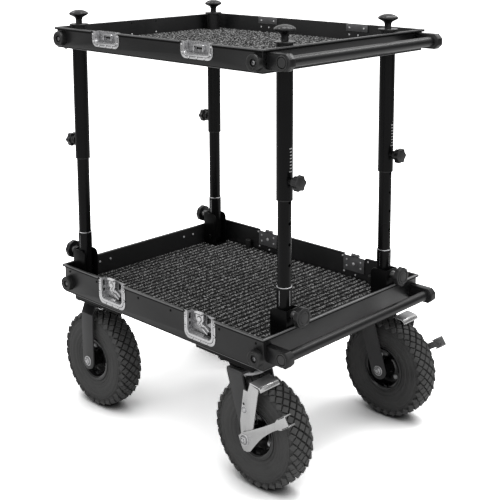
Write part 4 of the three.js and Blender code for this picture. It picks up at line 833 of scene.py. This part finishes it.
def foot_bracket():
    """Modelled for the right-hand end: the web is towards +X."""
    foot, top = BRACKET_Z
    cheek = [(27, foot), (-25, foot), *bend(-10, top - 15, 15, 180, 90), (27, top)]
    parts = [coated(plate(cheek, (side * 19.5, side * 22.5)), gloss_coat_and_shade, edge=0.9) for side in SIDES]
    web = coated(slab((24, 27), (-21.5, 21.5), BRACKET_Z), gloss_coat_and_shade, edge=0.9)
    parts.append(carved(web, turned(rod(4.3, -5, 9), (20, 0, FOOT_LOCK_Z), "x", 20)))
    parts.append(coated(slab((-25, 26), (-21.5, 21.5), (foot, foot + 3)), gloss_coat_and_shade, edge=0.9))
    cap = [(0, -0.5), (7, -0.5), (7, 1.8), (6.2, 3), (0, 3)]
    for side in SIDES:
        parts.append(lathe(dark_screw_and_shade, cap, (0, side * 22.5, PIVOT_Z), OUT_Y[side], 24))
    parts.append(lathe(dark_screw_and_shade, rod(4, -22, 22), (0, 0, PIVOT_Z), "y", 20))
    return welded("foot_bracket_model", parts)


model = foot_bracket()
for label, end, place in POSTS:
    piece = copied(model, "folded_bracket_" + label, place, 0 if end > 0 else 180)
    fitted(piece, "root", "foot_bracket_" + label)
bpy.data.objects.remove(model)

# Posts: an anodised inner tube with index holes, pressed into a foot collar; the outer tube slides
# on it and carries a boss for the height lock. Plain white ticks stand where a scale is printed.
LOCK_Z = 728.4
HOLE_PITCH = 50
tube_black = grained("tube_black", grey(0.003, 0.0032), grey(0.005, 0.0053), (0.22, 0.3),
                     grain=1200, relief=0.04, specular=0.14)
bright_edge = grained("bright_edge", grey(0.55, 0.56), grey(0.45, 0.46), (0.2, 0.3), metal=1.0)
stud_dark = grained("stud_dark", grey(0.02), grey(0.03), (0.2, 0.3), specular=0.4)
tick_white = grained("tick_white", grey(0.6), grey(0.5), (0.5, 0.6))


def inner_post(end):
    """The end is the sign of the outboard direction along X; heights are above the floor."""
    angles = [math.radians(a) for a in range(0, 91, 15)]
    dome = [(18.5 * math.sin(a), PIVOT_Z - 18.5 * math.cos(a)) for a in angles]
    collar = turned([*dome, (18.5, 473.4), (17.6, 474.6), (16.2, 475.4), (0, 475.4)], steps=48)
    carved(collar, slab((-1.5, 1.5), (-20, -17.3), (429.4, 469.4)))
    carved(collar, slab((end * 17.3, end * 20), (-1.5, 1.5), (429.4, 469.4)))
    ring = [(16.6, 474.2), (18.3, 474.2), (18.5, 474.8), (18.1, 475.8), (16.6, 476.1), (16.6, 474.2)]
    shaft = [(16.5, 470), (16.5, 769.6), (15.8, 770.4), (13.5, 770.4), (13.5, 470), (16.5, 470)]
    shaft = turned(shaft, steps=48)
    for step in range(5):
        carved(shaft, turned(rod(4, 0, 22), (0, 0, LOCK_Z - HOLE_PITCH * step), OUT_X[end], 20))
    parts = [coated(collar, tube_black), lathe(bright_edge, ring, steps=48, corner=60),
             painted(slab((-0.7, 0.7), (-17.6, -17.2), (431, 468)), bright_edge),
             painted(slab((end * 17.2, end * 17.6), (-0.7, 0.7), (431, 468)), bright_edge),
             coated(shaft, tube_black)]
    return welded("inner_post_model", parts)


def outer_tube(end):
    """The sleeve with the lock's boss, a thin lip at its foot and the ticks of the scale."""
    shell = [(16.8, 682.4), (18.9, 682.4), (19.5, 683), (19.5, 986.8), (18.9, 987.4), (0, 987.4),
             (0, 972.4), (16.8, 972.4), (16.8, 682.4)]
    boss = [(4.3, 16.5), (9, 16.5), (9, 24.7), (8.2, 25.5), (4.3, 25.5), (4.3, 16.5)]
    lip = [(18.9, 682.2), (19.6, 682.5), (19.7, 683.4), (19.4, 684), (18.9, 682.2)]
    parts = [lathe(tube_black, shell, steps=48), lathe(tube_black, boss, (0, 0, LOCK_Z), OUT_X[end], 32),
             lathe(stud_dark, lip, steps=48, corner=60)]
    for step in range(8):
        z = 751 + 7.6 * step
        half = 4.4 if step % 7 == 0 else 3
        tick = slab((end * 18.6, end * 19.65), (-half, half), (z, z + 2))
        parts.append(painted(tick, tick_white))
    return welded("outer_tube_model", parts)


for end in SIDES:
    inner_model = inner_post(end)
    outer_model = outer_tube(end)
    for label, seat, place in POSTS:
        if seat == end:
            fitted(copied(inner_model, "collared_tube_" + label, place), "post_" + label,
                   "inner_post_" + label)
            fitted(copied(outer_model, "sliding_tube_" + label, place), "tube_" + label,
                   "outer_tube_" + label)
    bpy.data.objects.remove(inner_model)
    bpy.data.objects.remove(outer_model)

# Knobs: moulded black plastic on steel studs. Star knobs lock the height, round knobs clamp the
# feet, and mushroom knobs screw down through the sockets of the upper tray.
DECK_KNOB_Z = 1049.3
knob_plastic = grained("knob_plastic", grey(0.007, 0.0073), grey(0.011, 0.0115), (0.28, 0.38),
                       grain=700, relief=0.12)
stud_steel = grained("stud_steel", grey(0.5), grey(0.38), (0.25, 0.35), metal=1.0)


def lobed(radius, depth, lobes, per_lobe=8):
    """A circle with shallow hollows between its lobes."""
    points = []
    for i in range(lobes * per_lobe):
        angle = 2 * math.pi * i / (lobes * per_lobe)
        reach = radius - depth * (1 - math.cos(lobes * angle)) / 2
        points.append((reach * math.cos(angle), reach * math.sin(angle)))
    return points


def height_knob():
    star = plate(lobed(20, 3.6, 6), (36.1, 51.1), across="x")
    neck = [(0, 26.1), (10.5, 26.1), (12, 28), (12.4, 31), (11.4, 34), (13.5, 36.6), (0, 36.6)]
    cap = [(0, 50.6), (7.5, 50.6), (7.1, 51.6), (0, 52)]
    parts = [coated(star, knob_plastic, edge=2.4, segments=4), lathe(knob_plastic, neck, along="x"),
             lathe(knob_plastic, cap, along="x"), lathe(stud_steel, rod(4, 17.1, 27), along="x", steps=20)]
    return welded("height_knob_model", parts)


def foot_knob():
    disc = plate(lobed(25, 1.2, 8, 10), (47.8, 61.8), across="x")
    throat = [(0, 27.3), (9.5, 27.3), (9.5, 40), (11.5, 47.8), (0, 47.8)]
    face = [(0, 61.3), (20, 61.3), (19.6, 63), (17.6, 63.4), (16.4, 61.6), (13, 61.4), (11.6, 63),
            (6, 63.6), (0, 63.6)]
    parts = [coated(disc, knob_plastic, edge=2.6, segments=4), lathe(stud_steel, throat, along="x"),
             lathe(knob_plastic, face, along="x", steps=40),
             lathe(stud_steel, rod(4, 18.9, 29), along="x", steps=20)]
    return welded("foot_knob_model", parts)


def deck_knob():
    """The cap's outer rings are drawn in at eight places, which scallops its edge."""
    cap = [(0, 0), (8.6, 0), (8.6, 11), (10, 15.5), (14, 18.6), (20, 21.4), (24.6, 24), (26, 26.4),
           (25.2, 28.8), (21.4, 32), (15, 34.8), (8, 36.6), (0, 37)]
    knob = turned(cap, steps=48)
    bpy.ops.object.mode_set(mode="EDIT")
    bpy.ops.mesh.select_mode(type="VERT")
    for lobe in range(8):
        bpy.ops.mesh.select_all(action="DESELECT")
        bpy.ops.object.mode_set(mode="OBJECT")
        for point in knob.data.vertices:
            around = math.atan2(point.co.y, point.co.x) / QUARTER * 2 - lobe
            near = abs((around + 4) % 8 - 4) < 0.2
            point.select = near and math.hypot(point.co.x, point.co.y) > 19 * MM
        bpy.ops.object.mode_set(mode="EDIT")
        bpy.ops.transform.resize(value=(0.93, 0.93, 1), center_override=(0, 0, 0))
    bpy.ops.object.mode_set(mode="OBJECT")
    stud = [(0, -60), (4.4, -60), (5, -59), (5, 0.5), (0, 0.5)]
    return welded("deck_knob_model", [coated(knob, knob_plastic, corner=60),
                                      lathe(stud_steel, stud, steps=20)])


for model, stem, node, lock, z in (
    (height_knob(), "height_star_", "height_knob_", "height_lock_", LOCK_Z),
    (foot_knob(), "foot_clamp_", "foot_knob_", "foot_lock_", FOOT_LOCK_Z),
    (deck_knob(), "mushroom_knob_", "deck_knob_", "deck_lock_", DECK_KNOB_Z),
):
    for label, end, place in POSTS:
        piece = copied(model, stem + label, (place[0], place[1], z), 0 if end > 0 else 180)
        fitted(piece, lock + label, node + label)
    bpy.data.objects.remove(model)

# Mount plates: a thick coated plate under each end of the lower tray. The swivel casters' top
# plates are bolted to the right one with dark bolts and turn on a double ball race.
CASTER_X, CASTER_Y = 281, 248
TRAIL, AXLE_Z = 49, 132.5
TOP_PLATE_Z = 294.2
# Grey-black fork paint; along the wheel rims' lips it is a painted highlight.
fork_paint = grained("fork_paint", grey(0.034, 0.035), grey(0.044, 0.045), (0.38, 0.5), relief=0.15)
bolt_zinc = grained("bolt_zinc", grey(0.7, 0.71), grey(0.55, 0.56), (0.22, 0.36), metal=0.7)


def hex_head(place, along, radius, height, washer, finish=bolt_zinc):
    """A hexagon bolt head on its washer."""
    ring = [(0, -0.4), (washer, -0.4), (washer, 1.1), (washer - 0.5, 1.6), (0, 1.6)]
    crown = [(0, 1.4), (radius, 1.4), (radius, height - 0.8), (radius * 0.86, height), (0, height)]
    return [lathe(finish, ring, place, along, 28), coated(turned(crown, place, along, 6), finish, edge=0.3)]


def top_plate(top, x, y, bolts):
    """A caster's plate with a bolt at each corner."""
    sheet = slab((x - 56, x + 56), (y - 46, y + 46), (TOP_PLATE_Z, top))
    parts = [coated(sheet, gloss_coat_and_shade, edge=0.8)]
    for along in SIDES:
        for across in SIDES:
            parts += hex_head((x + along * 48, y + across * 38, TOP_PLATE_Z), "-z", 6, 4.6, 8, bolts)
    return parts


def mount_plate(end):
    piece = coated(slab((end * 148, end * 338), (-294, 294), (298.5, 307.7)), gloss_coat_and_shade, edge=1.2)
    piece.name = "mount"
    return piece


fitted(mount_plate(-1), "root", "mount_plate_left")
parts = [mount_plate(1)]
for side in SIDES:
    y = side * CASTER_Y
    race = [(0, 284.6), (42, 284.6), (45.4, 285.2), (46.6, 287.2), (46, 289), (43, 289.6), (43, 290.4),
            (45.4, 291), (46.4, 292.6), (45, 294), (42, 294.4), (0, 294.4)]
    cage = [(0, 284.3), (39, 284.3), (41, 285.6), (0, 285.6)]
    parts += top_plate(298.6, CASTER_X, y, dark_screw_and_shade)
    parts.append(lathe(gloss_coat_and_shade, race, (CASTER_X, y, 0), steps=56, corner=50))
    parts.append(lathe(stud_steel, cage, (CASTER_X, y, 0), steps=48))
fitted(welded("mount_plate_with_races", parts), "root", "mount_plate_right")

# Forks: bent from 5 mm steel, grey-black, the fixed ones in a darker gloss coat over the shoulder as painted
# shade.
# The legs end round at the axle, whose nuts have rings of painted shade; swivel forks turn under a bright
# lower race.
def fork_sheet(top, half_top, trail, drop, inset):
    """A bent strip cut to its side view; the drop is the shoulder's height below the top."""
    shoulder = top - drop
    crown = 51 - inset
    outer = [(-51, 80), (-51, shoulder), (-crown, top), (crown, top), (51, shoulder), (51, 80)]
    inner = [(46, 80), (46, shoulder - 1), (crown - 3, top - 6), (3 - crown, top - 6), (-46, shoulder - 1),
             (-46, 80)]
    section = plate(outer + inner, (-90, trail + 90), across="x")
    side_view = [*bend(trail, AXLE_Z, 23.5, 180, 360, 16), (half_top, top + 0.1), (-half_top, top + 0.1)]
    carved(section, plate(side_view, (-70, 70)), "INTERSECT")
    coated(section, fork_paint, edge=1.5)
    # Faces above a fixed fork's shoulder take the darker coat as painted shade.
    section.data.materials.append(gloss_coat_and_shade)
    for face in section.data.polygons:
        if drop > 10 and face.center.z > (shoulder - 1) * MM:
            face.material_index = 1
    return section


def axle_ends(x, near, far):
    """The axle with a nut at each end, two rings of painted shade round each nut."""
    parts = [lathe(bolt_zinc, rod(6, near, far), (x, 0, AXLE_Z), "y", 24)]
    for y, facing in ((near, "-y"), (far, "y")):
        parts += hex_head((x, y, AXLE_Z), facing, 9, 6, 13.5)
        for radius, level in ((9.6, 1.3), (5, 5.7)):
            parts.append(dark_ring(radius, radius + 1.3, level, level + 0.5, (x, y, AXLE_Z), facing, 28))
    return parts


parts = [fork_sheet(298.2, 23.5, 0, 30, 12)] + top_plate(298.2, 0, 0, bolt_zinc) + axle_ends(0, -51, 51)
model = welded("fixed_fork_model", parts)
for side in SIDES:
    flank = FLANKS[side]
    piece = copied(model, "fixed_fork_arms_" + flank, (-CASTER_X, side * CASTER_Y, 0))
    fitted(piece, "root", "fixed_fork_" + flank)
bpy.data.objects.remove(model)

for side in SIDES:
    flank = FLANKS[side]
    crown = [(0, 278), (37, 278), (39, 279.6), (39, 282.6), (37.6, 284), (0, 284)]
    race = [(30, 270.4), (40.6, 270.4), (42.4, 271.8), (42.4, 276.4), (40.6, 277.8), (30, 277.8), (30, 270.4)]
    parts = [fork_sheet(284, 25, TRAIL, 5, 3), lathe(fork_paint, crown, steps=48),
             lathe(rivet_zinc_and_highlight, race, steps=56, corner=50),
             lathe(bolt_zinc, rod(13, 46, 56.4), (TRAIL, 0, AXLE_Z), OUT_Y[side], 32)]
    parts += axle_ends(TRAIL, -65.2 if side < 0 else -51, 65.2 if side > 0 else 51)
    piece = placed(welded("swivel_fork_arms_" + flank, parts), (CASTER_X, side * CASTER_Y, 0))
    fitted(piece, "swivel_" + flank, "swivel_fork_" + flank)

# Wheels: two pressed steel rim halves bolted together round a hub, gloss black, with bright bolts
# and a rubber valve stem. The pneumatic tyre has a diamond block tread and ringed sidewalls.
BLOCKS = 32
rim_gloss = grained("rim_gloss", grey(0.004, 0.0042), grey(0.007, 0.0075), (0.1, 0.18),
                    relief=0.03, specular=0.7)
tyre_rubber = grained("tyre_rubber", grey(0.024), grey(0.075, 0.074), (0.5, 0.75),
                      grain=420, cloud=26, relief=0.35, specular=0.4)
tread_rubber = grained("tread_rubber", grey(0.035), grey(0.09, 0.089), (0.5, 0.7),
                       grain=420, cloud=120, relief=0.35, specular=0.4)


def mirrored(half):
    """A profile and its mirror image on the other side of the wheel's middle."""
    return half + [(radius, -y) for radius, y in reversed(half)]


def wheel_rim():
    half = [(6.6, 44), (15, 44), (19, 42.4), (19, 14), (24, 7), (28, 5), (44, 5), (46.5, 8), (47, 20),
            (50, 30), (54, 32.6), (58.6, 33), (60, 32), (60, 30.6), (57, 30), (53, 30), (50, 20)]
    parts = [lathe(rim_gloss, mirrored(half) + [half[0]], along="y", steps=64, corner=40)]
    # A painted highlight ring along each rim lip, in the lighter fork paint.
    lip = [(60.2, 31.2), (60.9, 31.2), (60.9, 32.4), (59.6, 33.2), (58.6, 33.3), (60.2, 31.2)]
    for side in SIDES:
        parts.append(lathe(fork_paint, lip, along=OUT_Y[side], steps=64, corner=40))
    for i in range(4):
        angle = math.pi / 4 * (2 * i + 1)
        for side in SIDES:
            place = (35 * math.cos(angle), side * 5, 35 * math.sin(angle))
            parts += hex_head(place, OUT_Y[side], 4.6, 4.4, 6.4)
    bearing = [(7, 43.6), (13.6, 43.6), (13, 44.3), (10, 44.4), (7, 44)]
    valve = [(0, 4), (3.8, 4), (3.2, 12), (2.6, 20), (2.4, 27), (0, 27)]
    tip = [(0, 26), (2.9, 26), (2.9, 31), (2.2, 32), (0, 32)]
    parts += [lathe(bolt_zinc, bearing, along="-y"), lathe(black_rubber, valve, (-41, 0, 6), "-y", 16),
              lathe(bolt_zinc, tip, (-41, 0, 6), "-y", 16), lathe(bolt_zinc, bearing, along="y")]
    return welded("rim_model", parts)


def tread_blocks(size, top_radius, lateral, tilt, stagger):
    """One diamond block, tilted to the tyre's round and repeated round it."""
    bpy.ops.object.select_all(action="DESELECT")
    bpy.ops.mesh.primitive_cube_add(size=MM, location=(0, 0, 0), scale=size)
    block = settled(bpy.context.object)
    edit_all()
    bpy.ops.transform.rotate(value=QUARTER / 2, orient_axis="Z", center_override=(0, 0, 0))
    bpy.ops.transform.translate(value=(0, 0, -size[2] / 2 * MM))
    bpy.ops.object.mode_set(mode="OBJECT")
    coated(block, tread_rubber, edge=0.8, segments=1)
    placed(block, (0, lateral, top_radius), (-math.radians(tilt), 0, 0))
    placed(block, (0, 0, 0), (0, 2 * math.pi / BLOCKS * stagger, 0))
    edit_all()
    around = 2 * math.pi * (BLOCKS - 1) / BLOCKS
    bpy.ops.mesh.spin(steps=BLOCKS - 1, dupli=True, angle=around, center=(0, 0, 0), axis=(0, 1, 0))
    bpy.ops.object.mode_set(mode="OBJECT")
    return block


def tyre():
    """A hollow carcass with ringed sidewalls, the dark base of the tread and its rows of blocks."""
    side_view = [(53.4, 29), (60.6, 29.4), (62, 31.6), (66, 33.4), (69, 34.2), (69.6, 33.4), (73, 34.4),
                 (73.6, 35.2), (78, 35.6), (78.6, 35.1), (84, 35.5), (84.6, 36), (92, 36), (92.6, 35.4),
                 (99, 35), (99.6, 35.5), (105, 34.9), (105.6, 34.2), (109, 33.6), (109.6, 34.3),
                 (112, 33.8), (112.6, 32.6), (116, 31.2), (118.8, 28.4), (121.4, 24), (123.4, 18),
                 (124.9, 9)]
    lining = [(53.4, -23), (84, -30), (118, -18), (118, 18), (84, 30), (53.4, 23)]
    ring = side_view + [(125.3, 0)] + mirrored(side_view)[len(side_view):] + lining + [side_view[0]]
    crown = [(117.4, 29.4), (119.2, 29.2), (121.8, 24.2), (123.8, 18), (125.3, 9)]
    base = crown + [(125.7, 0)] + mirrored(crown)[len(crown):] + [crown[0]]
    parts = [lathe(tyre_rubber, ring, along="y", steps=72, corner=40),
             lathe(black_rubber, base, along="y", steps=72, corner=40)]
    for size, radius, lateral, tilt, stagger in (
        ((14, 14, 8), 131.9, 0, 0, 0),
        ((13.8, 13.8, 8), 131.4, 12.8, 9, 0.5),
        ((13.4, 13.4, 8), 128.6, 24.6, 27, 0),
        ((12.6, 12.6, 9), 123.6, 33.6, 56, 0.5),
    ):
        for side in SIDES if lateral else (1,):
            parts.append(tread_blocks(size, radius, side * lateral, side * tilt, stagger))
    return welded("tyre_model", parts)


rim_model = wheel_rim()
tyre_model = tyre()
for side in SIDES:
    flank = FLANKS[side]
    angle = 0 if side < 0 else 180
    for stem, x, body in (
        ("swivel", CASTER_X + TRAIL, "swivel_wheel_" + flank),
        ("fixed", -CASTER_X, "fixed_wheel_" + flank),
    ):
        hub = (x, side * CASTER_Y, AXLE_Z)
        rim = copied(rim_model, stem + "_wheel_rim_" + flank, hub, angle)
        fitted(rim, body, stem + "_rim_" + flank)
        rubber = copied(tyre_model, stem + "_block_tyre_" + flank, hub, angle)
        fitted(rubber, body, stem + "_tyre_" + flank)
bpy.data.objects.remove(rim_model)
bpy.data.objects.remove(tyre_model)

# Brakes: 3 mm zinc plated steel, cut and folded. The shoe's plate hangs over the axle beside the
# wheel and its top is folded over the tyre; the lever presses it down and has a folded head.
LEVER_LEAN = math.radians(-34.5)


def drawn_lines_group():
    """Fine drawn lines: noise stretched along Z."""
    group, given = new_group("drawn_lines", ("Colour", "Second Colour"),
                             ("Across Scale", "Along Scale", "Low Roughness", "High Roughness"),
                             ("Colour", "Roughness", "Height"))
    across = given["Across Scale"]
    place = added(group, "TexCoord").outputs["Object"]
    stretch = added(group, "CombineXYZ", {"X": across, "Y": across, "Z": given["Along Scale"]})
    scaled = added(group, "VectorMath", {0: place, 1: stretch.outputs["Vector"]},
                   operation="MULTIPLY")
    lines = added(group, "TexNoise",
                  {"Vector": scaled.outputs["Vector"], "Scale": 1, "Detail": 3}).outputs["Fac"]
    return blended(group, given, lines, lines, (0, 1))


brushed_zinc = patterned("brushed_zinc", drawn_lines_group(),
                         {"Colour": grey(0.7), "Second Colour": grey(0.5), "Across Scale": 900,
                          "Along Scale": 25, "Low Roughness": 0.15, "High Roughness": 0.28},
                         0.1, {"Metallic": 0.75})


def brake_shoe(side):
    """Modelled about the axle: a board with a slot and a hole, a hood over the tyre and a rivet."""
    cheek = [(13, 139.6), (5.9, 117.9), (-7.1, 119.3), (-18.1, 39.8), (-15.1, -5),
             *bend(-9, -9, 6, 200, 270, 3), *bend(9, -9, 6, 270, 340, 3), (15.1, -5), (23.9, 35.5),
             (39.8, 132.6)]
    board = plate(cheek, (side * 57, side * 60))
    for radius, place, steps in ((6.6, (0, 0, 0), 24), (6.6, (0, 0, 2), 24), (3.2, (-7, 0, 84), 16)):
        carved(board, turned(rod(radius, -70, 70), place, "y", steps))
    cover = [(13, 142), (13, 139), *bend(36, 127.5, 9, 81, 0, 5), *bend(36, 127.5, 12, 0, 81, 7)]
    hood = coated(plate(cover, (side * 60, side * -4)), brushed_zinc, edge=0.6)
    # The hood's top faces take the duller zinc as painted shade.
    hood.data.materials.append(dull_zinc_and_shade)
    for face in hood.data.polygons:
        if face.normal.z > 0.9:
            face.material_index = 1
    # A bright strip along the top of the board is a painted highlight on the fold.
    fold = plate([(12.8, 139.2), (37.4, 136.4), (37.9, 139.1), (13, 141.9)], (side * 59, side * 60.2))
    rivet = [(0, 59.6), (8.6, 59.6), (8.6, 60.3), (7.2, 60.7), (6.6, 60.3), (5.2, 60.3), (4.6, 62),
             (2.6, 62.8), (0, 63)]
    # A ring of painted shade round the rivet.
    painted_rivet_shade = dark_ring(6.2, 6.8, 60.1, 60.6, (-5, 0, 70), OUT_Y[side], 32)
    parts = [coated(board, brushed_zinc, edge=0.6), hood, coated(fold, rivet_zinc_and_highlight, edge=0.3),
             lathe(bolt_zinc, rivet, (-5, 0, 70), OUT_Y[side], 32), painted_rivet_shade]
    return welded("brake_shoe_plate_" + FLANKS[side], parts)


def brake_lever(side):
    """Modelled about the axle, pointing along X: an arm, two flanges at its head and a tab."""
    arm = [(-14.1, 14), (1.6, 16.8), (31.4, 13.2), (80, 9.6), (120.9, 8.4), (131.9, 12.9), (157, 12.9),
           (157, -12.9), (128.7, -12.9), (119.3, -8.7), (100, -8), (81.6, -9.2), (62, -11.8), (45.5, -15.4),
           (28, -20.6), (12.6, -25.8), (5, -28.8), (0, -29.4), (-17.3, -22.4), (-18.8, -13.7)]
    board = carved(plate(arm, (side * 61.6, side * 64.6)), turned(rod(6.6, -70, 70), along="y", steps=24))
    parts = [coated(board, brushed_zinc, edge=0.6)]
    for edge in SIDES:
        flange = slab((133.5, 157), (side * 64.6, side * 42.6), (edge * 10, edge * 13))
        parts.append(coated(flange, brushed_zinc, edge=0.6))
    tab = slab((-15, -4), (side * 61.6, side * 55), (-27.6, -24.8))
    parts.append(coated(tab, brushed_zinc, edge=0.5))
    return welded("brake_lever_arm_" + FLANKS[side], parts)


for side in SIDES:
    flank = FLANKS[side]
    hub = (CASTER_X + TRAIL, side * CASTER_Y, AXLE_Z)
    fitted(placed(brake_shoe(side), hub), "shoe_" + flank, "brake_shoe_" + flank)
    lever = placed(brake_lever(side), hub, (0, LEVER_LEAN, 0))
    fitted(lever, "lever_" + flank, "brake_lever_" + flank)
